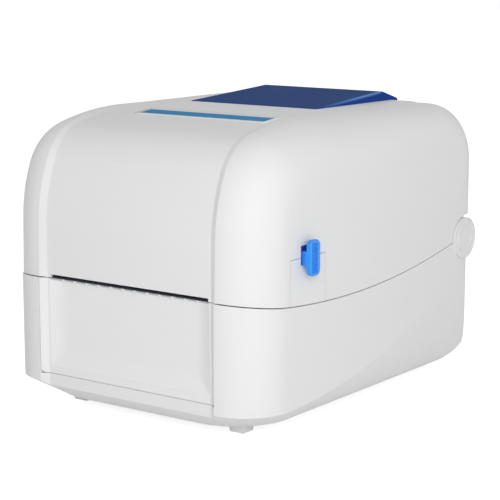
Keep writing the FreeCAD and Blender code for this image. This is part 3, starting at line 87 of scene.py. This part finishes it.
# Each record slot: kind, darkening of its patches, smoothest and roughest, grain size and depth in metres
FINISHES = {
    "housing_white": ("moulded", 0.03, 0.42, 0.54, 0.0006, 0.000012),
    "lever_blue": ("moulded", 0.12, 0.30, 0.42, 0.0005, 0.000010),
    "inner_grey": ("moulded", 0.18, 0.45, 0.60, 0.0007, 0.000025),
    "guide_blue": ("moulded", 0.15, 0.40, 0.52, 0.0006, 0.000018),
    "gear_white": ("moulded", 0.09, 0.38, 0.50, 0.0005, 0.000012),
    "socket_black": ("moulded", 0.40, 0.40, 0.55, 0.0005, 0.000020),
    "rubber_pale": ("moulded", 0.05, 0.70, 0.88, 0.0004, 0.000030),
    "rubber_grey": ("moulded", 0.30, 0.62, 0.78, 0.0003, 0.000020),
    "board_green": ("moulded", 0.35, 0.25, 0.40, 0.0020, 0.000020),
    "ceramic": ("moulded", 0.15, 0.15, 0.28, 0.0015, 0.000006),
    "window_navy": ("moulded", 0.38, 0.16, 0.26, 0.0040, 0.000010),
    "steel": ("brushed", 0.25, 0.26, 0.44, 0.0004, 0.000010),
    "dark_steel": ("brushed", 0.50, 0.32, 0.50, 0.0004, 0.000010),
    "aluminium": ("brushed", 0.18, 0.28, 0.42, 0.0004, 0.000010),
}
# Specular level of the slots that shine less than other plastics and metals
GLOSS = {"housing_white": 0.14, "window_navy": 0.0}
USUAL_GLOSS = 0.5
# Width of the softened edges of each node that has them, in metres
BEVELLED = {
    "lid_shell": 0.0005,
    "base_shell": 0.0005,
    "right_latch_insert": 0.0003,
    "left_latch_insert": 0.0003,
    "right_latch": 0.0004,
    "left_latch": 0.0004,
    "top_window": 0.0006,
    "rubber_feet": 0.0008,
    "power_switch": 0.0003,
    "power_rocker": 0.0003,
}
# Edges that bend more than this are softened
SOFT_ANGLE = math.radians(35)
# Edges of the front panel that bend more than this are shaded as creases
CREASE_ANGLE = math.radians(12)

# Upward share of the window's normals where the painted shade of its steep sides sets in, and where it is
# full
SIDE_SHADE_START = 0.75
SIDE_SHADE_FULL = 0.60
# Metres out from the wall's face where the painted shade on the levers sets in, and in from it where it is
# darkest
ROOT_SHADE_OUT = 0.0035
ROOT_SHADE_IN = 0.0005

# Points along each corner of the panel's outlines, and rings down the slope of its dish
CORNER_STEPS = 8
DISH_STEPS = 8
# Height and depth of a rib against what shows of it, so that it is rooted in the panel
RIB_ROOTED = 1.2
# Points of the panel that are nearer than this are one, in metres
MERGE = 1e-7

FILM_COLUMNS = 24
FILM_ROWS = 10
FILM_ROUGHNESS = 0.5
FILM_GLOSS = 0.003
FILM_RELIEF = 0.00001
# Palest ink of the film's print, against full ink, and the patches along the film
INK_PALEST = 0.88
INK_PATCHES = 40.0

# Each lamp: its place and its width, in metres
LAMPS = {
    "key": ((0.83, -0.90, 0.52), 0.9),
    "fill": ((-0.9, -0.8, 0.5), 1.0),
    "rear": ((0.9, 1.0, 0.6), 1.0),
}
LAMP_TARGET = (0, 0, 0.09)
FLOOR_HALF = 6.0
FLOOR_ROUGHNESS = 0.9
SENSOR_WIDTH = 36
NEAREST_SEEN = 0.01
WHITE = (1, 1, 1, 1)


def colour(name, description, default):
    """A colour setting."""
    return bpy.props.FloatVectorProperty(
        name=name, description=description, subtype="COLOR", min=0, max=1, default=default)


def length(name, description, default):
    """A size in metres."""
    return bpy.props.FloatProperty(name=name, description=description, default=default, unit="LENGTH")


def power(name, description, default):
    """A lamp's power in watts."""
    return bpy.props.FloatProperty(name=name, description=description, default=default, unit="POWER")


def share(name, description, default):
    """A tone or strength from 0 to 1."""
    return bpy.props.FloatProperty(name=name, description=description, default=default, min=0, max=1)


class PRINTER_PG_colours(bpy.types.PropertyGroup):
    """Colour of each material."""

    housing_white: colour("Housing", "Shells, front panel and latch inserts", (0.80, 0.80, 0.80))
    lever_blue: colour("Levers", "Cover release levers", (0.020, 0.30, 0.92))
    # Painted shade: deeper blue where the levers enter the wall
    lever_root_shade: colour("Lever root", "Deeper blue where the levers enter the wall", (0.0, 0.055, 0.52))
    window_navy: colour("Window", "Broad faces of the roof window", (0.074, 0.132, 0.335))
    # Painted shade for the window's steep sides
    window_side_shade: colour("Window sides", "Steep sides of the roof window", (0.020, 0.060, 0.270))
    # Painted highlight along the window's upper side edges
    window_rim_highlight: colour("Window rim", "Upper side edges of the roof window", (0.130, 0.280, 0.620))
    film_print: colour("Film print", "Printed area of the roof film", (0.016, 0.25, 0.53))
    film_paper: colour("Film border", "Bare border of the roof film", (0.85, 0.86, 0.87))
    inner_grey: colour("Inside", "Tray, frames and other inner mouldings", (0.17, 0.175, 0.185))
    guide_blue: colour("Roll holders", "Sliding roll holders", (0.05, 0.17, 0.50))
    gear_white: colour("Gears", "Gears and bushes", (0.84, 0.83, 0.78))
    socket_black: colour("Sockets", "Sockets and switch", (0.030, 0.030, 0.034))
    rubber_pale: colour("Feet", "Rubber feet", (0.92, 0.92, 0.92))
    rubber_grey: colour("Platen", "Rubber of the platen roller", (0.060, 0.060, 0.064))
    board_green: colour("Board", "Interface board", (0.030, 0.19, 0.075))
    ceramic: colour("Print head", "Ceramic of the print head", (0.66, 0.60, 0.52))
    steel: colour("Steel", "Pins, shafts and screws", (0.62, 0.63, 0.65))
    dark_steel: colour("Tear bar", "Blackened steel of the tear bar", (0.030, 0.034, 0.045))
    aluminium: colour("Aluminium", "Heat sink", (0.76, 0.77, 0.78))


class PRINTER_PG_window(bpy.types.PropertyGroup):
    """Painted highlight along the upper side edges of the roof window, in the frame's metres."""

    front: length("Front", "Y of the front end of the side edges", 0.00155)
    crest: length("Crest", "Y of the window's highest line", 0.07975)
    front_half: length("Front half", "Half of the top's width at the front", 0.04833)
    crest_half: length("Crest half", "Half of the top's width at the crest", 0.0458)
    rim: length("Rim", "Half of the bright line's width", 0.0008)
    rim_core: length("Rim core", "Half of the width that is fully bright", 0.0008 / 3)
    rim_fade: length("Rim fade", "Length over which the bright line sets in", 0.055)
    rim_end: length("Rim end", "Length over which it goes out behind the crest", 0.0016)


class PRINTER_PG_panel(bpy.types.PropertyGroup):
    """Front panel with a shallow dish, between two slopes up to the cheeks."""

    thick: length("Thickness", "Flat face to back", 0.0034)
    flat: length("Flat", "Flat face between the two slopes", 0.124)
    corner: length("Corner", "Round of the lower corners", 0.003)
    rim: length("Rim", "Flat beside the dish", 0.0012)
    foot: length("Foot", "Flat below the dish", 0.0050)
    dish_slope: length("Dish slope", "Width of the dish's sloping sides", 0.0115)
    dish_depth: length("Dish depth", "Depth of the dish", 0.0030)
    dish_corner: length("Dish corner", "Round of the dish's corners", 0.0025)
    rib_pitch: length("Rib pitch", "Spacing of the ribs on the upper lip", 0.0093)
    rib_width: length("Rib width", "Width of a rib", 0.0012)
    rib_rise: length("Rib rise", "Reach of the ribs above the panel's sides", 0.0008)
    rib_depth: length("Rib depth", "Rib from front to back", 0.0014)
    lip_drop: length("Lip drop", "Lip in the dish below the panel's sides", 0.0014)
    rib_count: bpy.props.IntProperty(name="Ribs", description="Ribs on the upper lip", default=12)
    edge: length("Soft edge", "Round of the panel's edges", 0.0004)


class PRINTER_PG_film(bpy.types.PropertyGroup):
    """Bare printed film on the lid's front strip."""

    centre: bpy.props.FloatVectorProperty(
        name="Centre", description="Middle of the film, seen from above", size=2, subtype="TRANSLATION",
        unit="LENGTH", default=(0.0106, -0.05965))
    span: length("Length", "Film across the strip", 0.0993)
    width: length("Width", "Film along the roof", 0.0170)
    border: length("Border", "Unprinted front and rear edge", 0.0030)
    side_border: length("Side border", "Unprinted left and right edge", 0.0030)
    thick: length("Thickness", "Film and glue", 0.00015)


class PRINTER_PG_studio(bpy.types.PropertyGroup):
    """Camera, light and floor of the product picture."""

    camera_place: bpy.props.FloatVectorProperty(
        name="Camera", description="Place of the lens", subtype="TRANSLATION", unit="LENGTH",
        default=(0.6124, -0.83745, 0.2756))
    camera_way: bpy.props.FloatVectorProperty(
        name="Camera way", description="Direction of the lens", subtype="DIRECTION",
        default=(-0.5811, 0.7940, -0.1788))
    lens: bpy.props.FloatProperty(name="Lens", description="Focal length in mm", default=118.87)
    key_power: power("Key power", "Big soft lamp at the front right corner", 8.45)
    fill_power: power("Fill power", "Soft lamp from the left front", 0.75)
    rear_power: power("Rear power", "Soft lamp from the right rear", 0.9)
    sky: share("Sky", "Even light from all sides", 0.445)
    floor_seen: share("Floor tone", "Tone of the floor that the lens sees under the lamps", 0.55)
    floor_glow: share("Floor glow", "Light that the lens sees the floor give by itself", 0.80)
    floor_bounce: share("Floor bounce", "Share of light that the floor throws back on the printer", 0.96)


def feed(tree, value, socket):
    """Join a socket to another one, or give it a plain value."""
    if isinstance(value, bpy.types.NodeSocket):
        tree.links.new(value, socket)
    else:
        socket.default_value = value


def calc(tree, operation, *values):
    """The result of a sum of sockets and plain numbers."""
    node = tree.nodes.new("ShaderNodeMath")
    node.operation = operation
    for value, socket in zip(values, node.inputs):
        feed(tree, value, socket)
    return node.outputs["Value"]


def map_range(tree, value, start=0.0, end=1.0, low=0.0, high=1.0):
    """A value that goes from low to high as another goes from start to end."""
    node = tree.nodes.new("ShaderNodeMapRange")
    ends = {"Value": value, "From Min": start, "From Max": end, "To Min": low, "To Max": high}
    for name, given in ends.items():
        feed(tree, given, node.inputs[name])
    return node.outputs["Result"]


def mix_colour(tree, factor, first, second):
    """A colour between two others."""
    mix = tree.nodes.new("ShaderNodeMix")
    mix.data_type = "RGBA"
    feed(tree, factor, mix.inputs["Factor"])
    feed(tree, first, mix.inputs[6])
    feed(tree, second, mix.inputs[7])
    return mix.outputs[2]


def noise(tree, vector, scale, detail):
    """Noise from 0 to 1."""
    node = tree.nodes.new("ShaderNodeTexNoise")
    for name, value in {"Vector": vector, "Scale": scale, "Detail": detail}.items():
        feed(tree, value, node.inputs[name])
    return node.outputs["Fac"]


def coordinate(tree, kind, axis):
    """One axis of a piece's own normals, places or flat coordinates."""
    place = tree.nodes.new("ShaderNodeTexCoord")
    parts = tree.nodes.new("ShaderNodeSeparateXYZ")
    feed(tree, place.outputs[kind], parts.inputs["Vector"])
    return parts.outputs[axis]


def new_group(name, inputs, outputs):
    """A shader node group with its input and output nodes."""
    tree = bpy.data.node_groups.new(name, "ShaderNodeTree")
    for label, kind, default in inputs:
        socket = tree.interface.new_socket(label, in_out="INPUT", socket_type=kind)
        socket.default_value = default
    for label, kind in outputs:
        tree.interface.new_socket(label, in_out="OUTPUT", socket_type=kind)
    return tree, tree.nodes.new("NodeGroupInput").outputs, tree.nodes.new("NodeGroupOutput").inputs


def surface_group(name, stretch, patches):
    """Grain, cloudy colour and uneven gloss of a surface, stretched along X for brushed metal."""
    tree, given, made = new_group(
        name,
        (
            ("Light", "NodeSocketColor", (0.8, 0.8, 0.8, 1)),
            ("Dark", "NodeSocketColor", (0.7, 0.7, 0.7, 1)),
            ("Smooth", "NodeSocketFloat", 0.3),
            ("Rough", "NodeSocketFloat", 0.5),
            ("Grain", "NodeSocketFloat", 0.0005),
        ),
        (("Color", "NodeSocketColor"), ("Roughness", "NodeSocketFloat"), ("Height", "NodeSocketFloat")),
    )
    place = tree.nodes.new("ShaderNodeTexCoord")
    scaled = tree.nodes.new("ShaderNodeVectorMath")
    scaled.operation = "MULTIPLY"
    feed(tree, place.outputs["Object"], scaled.inputs[0])
    feed(tree, stretch, scaled.inputs[1])
    pattern = scaled.outputs["Vector"]
    grain = noise(tree, pattern, calc(tree, "DIVIDE", 1, given["Grain"]), 2)
    clouds = noise(tree, pattern, patches, 4)
    tone = calc(tree, "MULTIPLY_ADD", grain, GRAIN_SHARE, calc(tree, "MULTIPLY", clouds, 1 - GRAIN_SHARE))
    feed(tree, mix_colour(tree, tone, given["Dark"], given["Light"]), made["Color"])
    feed(tree, map_range(tree, tone, low=given["Smooth"], high=given["Rough"]), made["Roughness"])
    feed(tree, grain, made["Height"])
    return tree


def film_group():
    """Colour of a printed film with an unprinted border, from its own flat coordinates."""
    tree, given, made = new_group(
        "Printed film",
        (
            ("Print", "NodeSocketColor", (0, 0, 1, 1)),
            ("Paper", "NodeSocketColor", WHITE),
            ("Border X", "NodeSocketFloat", 0.03),
            ("Border Y", "NodeSocketFloat", 0.12),
        ),
        (("Color", "NodeSocketColor"), ("Height", "NodeSocketFloat")),
    )
    inside = []
    for axis in "XY":
        from_edge = calc(tree, "PINGPONG", coordinate(tree, "UV", axis), 0.5)
        inside.append(calc(tree, "GREATER_THAN", from_edge, given[f"Border {axis}"]))
    flat = tree.nodes.new("ShaderNodeTexCoord").outputs["UV"]
    ink = noise(tree, flat, INK_PATCHES, 3)
    tone = calc(tree, "MULTIPLY", calc(tree, "MULTIPLY", *inside), map_range(tree, ink, low=INK_PALEST))
    feed(tree, mix_colour(tree, tone, given["Paper"], given["Print"]), made["Color"])
    feed(tree, ink, made["Height"])
    return tree


def principled(name):
    """A new material and its main shader."""
    material = bpy.data.materials.new(name)
    material.use_nodes = True
    return material, material.node_tree.nodes["Principled BSDF"]


def place_group(tree, group_tree, values):
    """A node group in a material, with its own values. Returns its outputs."""
    group = tree.nodes.new("ShaderNodeGroup")
    group.node_tree = group_tree
    for name, value in values.items():
        feed(tree, value, group.inputs[name])
    return group.outputs


def add_bump(tree, height, shader, distance):
    """Relief of a surface, from a height between 0 and 1."""
    bump = tree.nodes.new("ShaderNodeBump")
    feed(tree, distance, bump.inputs["Distance"])
    feed(tree, height, bump.inputs["Height"])
    feed(tree, bump.outputs["Normal"], shader.inputs["Normal"])


def surface(slot, groups, colours):
    """The material of one record slot, with its main shader and the socket of its mottled colour."""
    kind, mottle, smooth, rough, grain, depth = FINISHES[slot]
    pale = getattr(colours, slot)
    material, shader = principled(slot)
    tree = material.node_tree
    made = place_group(tree, groups[kind], {
        "Light": (*pale, 1),
        "Dark": (*[part * (1 - mottle) for part in pale], 1),
        "Smooth": smooth,
        "Rough": rough,
        "Grain": grain,
    })
    feed(tree, made["Color"], shader.inputs["Base Color"])
    feed(tree, made["Roughness"], shader.inputs["Roughness"])
    feed(tree, 1.0 if kind == "brushed" else 0.0, shader.inputs["Metallic"])
    feed(tree, GLOSS.get(slot, USUAL_GLOSS), shader.inputs["Specular IOR Level"])
    add_bump(tree, made["Height"], shader, depth)
    return material, shader, made["Color"]


def plain_material(slot, groups, colours):
    """Evenly coloured plastic, rubber, ceramic or metal."""
    return surface(slot, groups, colours)[0]


def window_rim_highlight(tree, window):
    """A mask for the painted highlight along the upper side edges of the window, from its front to its
    crest.
    """
    outward = calc(tree, "ABSOLUTE", coordinate(tree, "Object", "X"))
    along = coordinate(tree, "Object", "Y")
    taper = (window.front_half - window.crest_half) / (window.crest - window.front)
    edge = calc(tree, "ADD", outward, calc(tree, "MULTIPLY", along, taper))
    away = calc(tree, "ABSOLUTE", calc(tree, "SUBTRACT", edge, window.front_half + taper * window.front))
    line = map_range(tree, away, window.rim, window.rim_core)
    start = map_range(tree, along, window.front, window.front + window.rim_fade)
    end = map_range(tree, along, window.crest + window.rim_end, window.crest)
    return calc(tree, "MULTIPLY", line, calc(tree, "MULTIPLY", start, end))


def window_material(slot, groups, colours):
    """Tinted plastic: navy through its broad faces, with painted shade on its steep sides and a painted
    highlight along its upper side edges.
    """
    material, shader, broad = surface(slot, groups, colours)
    tree = material.node_tree
    # Painted shade: the steep sides take a deeper blue, set by how far their normals point up
    steep = map_range(tree, coordinate(tree, "Normal", "Z"), SIDE_SHADE_START, SIDE_SHADE_FULL)
    side_shaded = mix_colour(tree, steep, broad, (*colours.window_side_shade, 1))
    # Painted highlight: a bright line along the upper side edges
    rim = window_rim_highlight(tree, bpy.context.scene.printer_window)
    feed(tree, mix_colour(tree, rim, side_shaded, (*colours.window_rim_highlight, 1)), shader.inputs["Base Color"])
    return material


def lever_material(slot, groups, colours):
    """Bright blue plastic with painted shade that deepens it where a lever enters the housing's wall."""
    material, shader, bright = surface(slot, groups, colours)
    tree = material.node_tree
    # Painted shade: the blue darkens towards the wall, where the levers go into their recess
    outward = calc(tree, "ABSOLUTE", coordinate(tree, "Object", "X"))
    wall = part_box("right_latch_insert")[1][0]
    root = map_range(tree, outward, wall + ROOT_SHADE_OUT, wall - ROOT_SHADE_IN)
    feed(tree, mix_colour(tree, root, bright, (*colours.lever_root_shade, 1)), shader.inputs["Base Color"])
    return material


FINER = {"window_navy": window_material, "lever_blue": lever_material}


def soften(piece, width):
    """Round the sharp edges of a piece a little."""
    bevel = piece.modifiers.new("Soft edges", "BEVEL")
    bevel.width = width
    bevel.segments = 2
    bevel.limit_method = "ANGLE"
    bevel.angle_limit = SOFT_ANGLE
    bevel.harden_normals = True


def add_piece(context, name, mesh):
    """A new object of the scene with this mesh."""
    piece = bpy.data.objects.new(name, mesh)
    context.scene.collection.objects.link(piece)
    return piece


class PRINTER_OT_finishes(bpy.types.Operator):
    """Give every solid of the printer its finish, and soften the edges of those listed in BEVELLED"""

    bl_idname = "printer.finishes"
    bl_label = "Finish the solids"

    def execute(self, context):
        groups = {kind: surface_group(*facts) for kind, facts in KINDS.items()}
        colours = context.scene.printer_colours
        materials = {slot: FINER.get(slot, plain_material)(slot, groups, colours) for slot in FINISHES}
        for row in frame["record"]["subparts"]:
            solid = frame["nodes"][row["node"]]
            solid.data.materials.clear()
            solid.data.materials.append(materials[row["material_slot"]])
            for face in solid.data.polygons:
                face.use_smooth = True
            if row["node"] in BEVELLED:
                soften(solid, BEVELLED[row["node"]])
        return {"FINISHED"}


def rounded_outline(half, low, high, low_round):
    """Points round a rectangle in X and Z with round lower corners, from the upper right to the left."""
    corners = (
        (half, high, 0, 0),
        (-half, high, 0, 90),
        (-half, low, low_round, 180),
        (half, low, low_round, 270),
    )
    points = []
    for x, z, radius, start in corners:
        middle = Vector((x - math.copysign(radius, x), z + radius))
        for step in range(CORNER_STEPS + 1):
            angle = math.radians(start + 90 * step / CORNER_STEPS)
            points.append(middle + radius * Vector((math.cos(angle), math.sin(angle))))
    return points


def bridge(solid, first, second, skipped=()):
    """Faces between two rings of as many points, without those that start at the skipped points."""
    for index in range(len(first)):
        after = (index + 1) % len(first)
        if index not in skipped:
            solid.faces.new((first[index], first[after], second[after], second[index]))


class PRINTER_OT_panel(bpy.types.Operator):
    """Make the front panel with its square dish and the ribs on its upper lip"""

    bl_idname = "printer.panel"
    bl_label = "Make the front panel"

    def execute(self, context):
        panel = context.scene.printer_panel
        lowest, highest = [Vector(corner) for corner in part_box("front_panel")]
        solid = bmesh.new()
        self.body(solid, panel, lowest, highest)
        self.ribs(solid, panel, highest)
        bmesh.ops.remove_doubles(solid, verts=solid.verts, dist=MERGE)
        bmesh.ops.recalc_face_normals(solid, faces=solid.faces)
        mesh = bpy.data.meshes.new("dished_panel")
        solid.to_mesh(mesh)
        solid.free()
        mesh.shade_smooth()
        mesh.set_sharp_from_angle(angle=CREASE_ANGLE)
        mesh.materials.append(bpy.data.materials["housing_white"])
        piece = add_piece(context, "dished_panel", mesh)
        soften(piece, panel.edge)
        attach(piece, "base")
        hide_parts("front_panel")
        return {"FINISHED"}

    def body(self, solid, panel, lowest, highest):
        """Back, face with its two slopes, and dish, in rings of points from the back to the dish's floor."""
        half, flat = highest.x, panel.flat / 2
        low, lip = lowest.z, highest.z - panel.rib_rise
        back, face = highest.y, highest.y - panel.thick
        steepness = (face - lowest.y) / (half - flat)

        def ring(outline, depth):
            slopes = [max(0, abs(point.x) - flat) * steepness for point in outline]
            return [solid.verts.new((x, depth - rise, z)) for (x, z), rise in zip(outline, slopes)]

        outer = rounded_outline(half, low, lip, panel.corner)
        rear = [solid.verts.new((x, back, z)) for x, z in outer]
        front = ring(outer, face)
        inner = ring(rounded_outline(flat, low, lip, 0), face)
        rings = [rear, front, inner]
        for step in range(DISH_STEPS + 1):
            inset = panel.dish_slope * step / DISH_STEPS
            deep = panel.dish_depth * math.sin(math.pi / 2 * step / DISH_STEPS)
            half_dish = flat - panel.rim - inset
            lip_height = lip - (panel.lip_drop if step else 0)
            dish = rounded_outline(half_dish, low + panel.foot + inset, lip_height, panel.dish_corner)
            rings.append(ring(dish, face + deep))
        # The straight top and bottom start at these points, and are closed by one face each
        top, bottom = CORNER_STEPS, 3 * CORNER_STEPS + 2
        for first, second in zip(rings, rings[1:]):
            bridge(solid, first, second, (top, bottom) if second in rings[:3] else (top,))
        for end, closed in ((top, rings), (bottom, rings[:3])):
            solid.faces.new([part[end + 1] for part in closed] + [part[end] for part in reversed(closed)])
        solid.faces.new(reversed(rear))
        solid.faces.new(rings[-1])

    def ribs(self, solid, panel, highest):
        """Short fins on the lip, under the tear bar."""
        front = highest.y - panel.thick + panel.dish_depth - panel.rib_depth
        high = highest.z - panel.rib_rise
        size = Vector((panel.rib_width, RIB_ROOTED * panel.rib_depth, RIB_ROOTED * panel.lip_drop))
        for index in range(panel.rib_count):
            x = panel.rib_pitch * (index - (panel.rib_count - 1) / 2)
            middle = Vector((x, front, high)) + Vector((0, size.y, -size.z)) / 2
            bmesh.ops.create_cube(solid, matrix=Matrix.LocRotScale(middle, None, size))


class PRINTER_OT_springs(bpy.types.Operator):
    """Put a copy of the head's springs in place of the imported ones"""

    bl_idname = "printer.springs"
    bl_label = "Press the head springs"

    def execute(self, context):
        coils = frame["nodes"]["head_springs"]
        piece = add_piece(context, "pressed_springs", coils.data.copy())
        piece.matrix_world = coils.matrix_world
        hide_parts("head_springs")
        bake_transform(piece)
        return {"FINISHED"}


class PRINTER_OT_film(bpy.types.Operator):
    """Lay a bare printed film on the lid's front strip"""

    bl_idname = "printer.film"
    bl_label = "Lay the film"

    def execute(self, context):
        film = context.scene.printer_film
        mesh = self.sheet(context, film)
        piece = add_piece(context, "front_film", mesh)
        thickness = piece.modifiers.new("Film", "SOLIDIFY")
        thickness.thickness = film.thick
        thickness.offset = -1
        mesh.materials.append(self.material(context.scene.printer_colours, film))
        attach(piece, "lid")
        return {"FINISHED"}

    def sheet(self, context, film):
        """Grid that follows the lid's roof, with flat coordinates from 0 to 1 both ways."""
        roof = BVHTree.FromObject(frame["nodes"]["lid_shell"], context.evaluated_depsgraph_get())
        points = []
        for row in range(FILM_ROWS + 1):
            for column in range(FILM_COLUMNS + 1):
                x = film.centre[0] + film.span * (column / FILM_COLUMNS - 0.5)
                y = film.centre[1] + film.width * (row / FILM_ROWS - 0.5)
                hit = roof.ray_cast(Vector((x, y, cad_box[1][2])), Vector((0, 0, -1)))[0]
                points.append(hit + Vector((0, 0, film.thick)))
        faces = []
        for row in range(FILM_ROWS):
            for column in range(FILM_COLUMNS):
                first = row * (FILM_COLUMNS + 1) + column
                behind = first + FILM_COLUMNS + 1
                faces.append((first, first + 1, behind + 1, behind))
        mesh = bpy.data.meshes.new("front_film")
        mesh.from_pydata(points, [], faces)
        flat = mesh.uv_layers.new(name="Flat")
        for loop in mesh.loops:
            row, column = divmod(loop.vertex_index, FILM_COLUMNS + 1)
            flat.data[loop.index].uv = (column / FILM_COLUMNS, row / FILM_ROWS)
        mesh.shade_smooth()
        return mesh

    def material(self, colours, film):
        """Dull print inside a bare border."""
        material, shader = principled("front_film")
        tree = material.node_tree
        made = place_group(tree, film_group(), {
            "Print": (*colours.film_print, 1),
            "Paper": (*colours.film_paper, 1),
            "Border X": film.side_border / film.span,
            "Border Y": film.border / film.width,
        })
        feed(tree, made["Color"], shader.inputs["Base Color"])
        feed(tree, FILM_ROUGHNESS, shader.inputs["Roughness"])
        feed(tree, FILM_GLOSS, shader.inputs["Specular IOR Level"])
        add_bump(tree, made["Height"], shader, FILM_RELIEF)
        return material


def area_lamp(context, name, place, size, watts):
    """A large soft lamp that faces the printer."""
    lamp = bpy.data.lights.new(name, "AREA")
    lamp.shape = "DISK"
    lamp.size = size
    lamp.energy = watts
    holder = add_piece(context, name, lamp)
    holder.location = place
    holder.rotation_euler = (Vector(LAMP_TARGET) - Vector(place)).to_track_quat("-Z", "Y").to_euler()


def white_to_camera(tree, seen, lit, output):
    """One shader for what the lens, gloss and clear plastic see, and another for what lights the object."""
    path = tree.nodes.new("ShaderNodeLightPath").outputs
    shown = path["Is Camera Ray"]
    for ray in ("Is Glossy Ray", "Is Transmission Ray"):
        shown = calc(tree, "MAXIMUM", shown, path[ray])
    mix = tree.nodes.new("ShaderNodeMixShader")
    feed(tree, shown, mix.inputs["Fac"])
    feed(tree, lit.outputs[0], mix.inputs[1])
    feed(tree, seen.outputs[0], mix.inputs[2])
    feed(tree, mix.outputs[0], output.inputs["Surface"])


class PRINTER_OT_studio(bpy.types.Operator):
    """Set up the pale floor, soft light and camera"""

    bl_idname = "printer.studio"
    bl_label = "Set up the studio"

    def execute(self, context):
        studio = context.scene.printer_studio
        self.floor(context, studio)
        self.sky(context, studio)
        for name, (place, size) in LAMPS.items():
            area_lamp(context, name, place, size, getattr(studio, f"{name}_power"))
        self.camera(context, studio)
        context.scene.view_settings.view_transform = "Standard"
        return {"FINISHED"}

    def floor(self, context, studio):
        """White floor that keeps the printer's shadow."""
        mesh = bpy.data.meshes.new("floor")
        corners = [(FLOOR_HALF * x, FLOOR_HALF * y, 0) for x, y in ((-1, -1), (1, -1), (1, 1), (-1, 1))]
        mesh.from_pydata(corners, [], [(0, 1, 2, 3)])
        material, shader = principled("floor")
        tree = material.node_tree
        feed(tree, (*[studio.floor_seen] * 3, 1), shader.inputs["Base Color"])
        feed(tree, FLOOR_ROUGHNESS, shader.inputs["Roughness"])
        feed(tree, WHITE, shader.inputs["Emission Color"])
        feed(tree, studio.floor_glow, shader.inputs["Emission Strength"])
        plain = tree.nodes.new("ShaderNodeBsdfDiffuse")
        feed(tree, (*[studio.floor_bounce] * 3, 1), plain.inputs["Color"])
        white_to_camera(tree, shader, plain, tree.nodes["Material Output"])
        mesh.materials.append(material)
        add_piece(context, "floor", mesh)

    def sky(self, context, studio):
        """Even light, in front of a white backdrop."""
        world = bpy.data.worlds.new("studio")
        context.scene.world = world
        world.use_nodes = True
        tree = world.node_tree
        lit = tree.nodes["Background"]
        seen = tree.nodes.new("ShaderNodeBackground")
        for backdrop, strength in ((lit, studio.sky), (seen, 1)):
            feed(tree, WHITE, backdrop.inputs["Color"])
            feed(tree, strength, backdrop.inputs["Strength"])
        white_to_camera(tree, seen, lit, tree.nodes["World Output"])

    def camera(self, context, studio):
        """Lens at the photograph's place and angle, held level."""
        lens = bpy.data.cameras.new("camera")
        lens.lens = studio.lens
        lens.sensor_width = SENSOR_WIDTH
        lens.clip_start = NEAREST_SEEN
        camera = add_piece(context, "camera", lens)
        way = Vector(studio.camera_way).normalized()
        right = way.cross(Vector((0, 0, 1))).normalized()
        up = right.cross(way)
        turn = Matrix((right, up, -way)).transposed().to_4x4()
        camera.matrix_world = Matrix.Translation(studio.camera_place) @ turn
        context.scene.camera = camera


class PRINTER_PT_panel(bpy.types.Panel):
    """Sidebar panel with the printer's settings"""

    bl_label = "Label printer"
    bl_idname = "PRINTER_PT_panel"
    bl_space_type = "VIEW_3D"
    bl_region_type = "UI"
    bl_category = "Printer"

    def draw(self, context):
        layout = self.layout
        for group in [getattr(context.scene, name) for name in GROUPS]:
            box = layout.box()
            for name in group.__annotations__:
                box.prop(group, name)
        for operator in STEPS:
            layout.operator(operator.bl_idname)


GROUPS = {
    "printer_colours": PRINTER_PG_colours,
    "printer_panel": PRINTER_PG_panel,
    "printer_window": PRINTER_PG_window,
    "printer_film": PRINTER_PG_film,
    "printer_studio": PRINTER_PG_studio,
}
STEPS = (PRINTER_OT_finishes, PRINTER_OT_panel, PRINTER_OT_springs, PRINTER_OT_film, PRINTER_OT_studio)
CLASSES = (*GROUPS.values(), *STEPS, PRINTER_PT_panel)


def register():
    """Add the classes and their settings to Blender."""
    for item in CLASSES:
        bpy.utils.register_class(item)
    for name, group in GROUPS.items():
        setattr(bpy.types.Scene, name, bpy.props.PointerProperty(type=group))


def unregister():
    """Take the classes and their settings out of Blender."""
    for name in GROUPS:
        delattr(bpy.types.Scene, name)
    for item in reversed(CLASSES):
        bpy.utils.unregister_class(item)


def main():
    """Dress the frame."""
    register()
    bpy.ops.printer.finishes()
    bpy.ops.printer.panel()
    bpy.ops.printer.springs()
    bpy.ops.printer.film()
    bpy.ops.printer.studio()


if __name__ == "__main__":
    main()
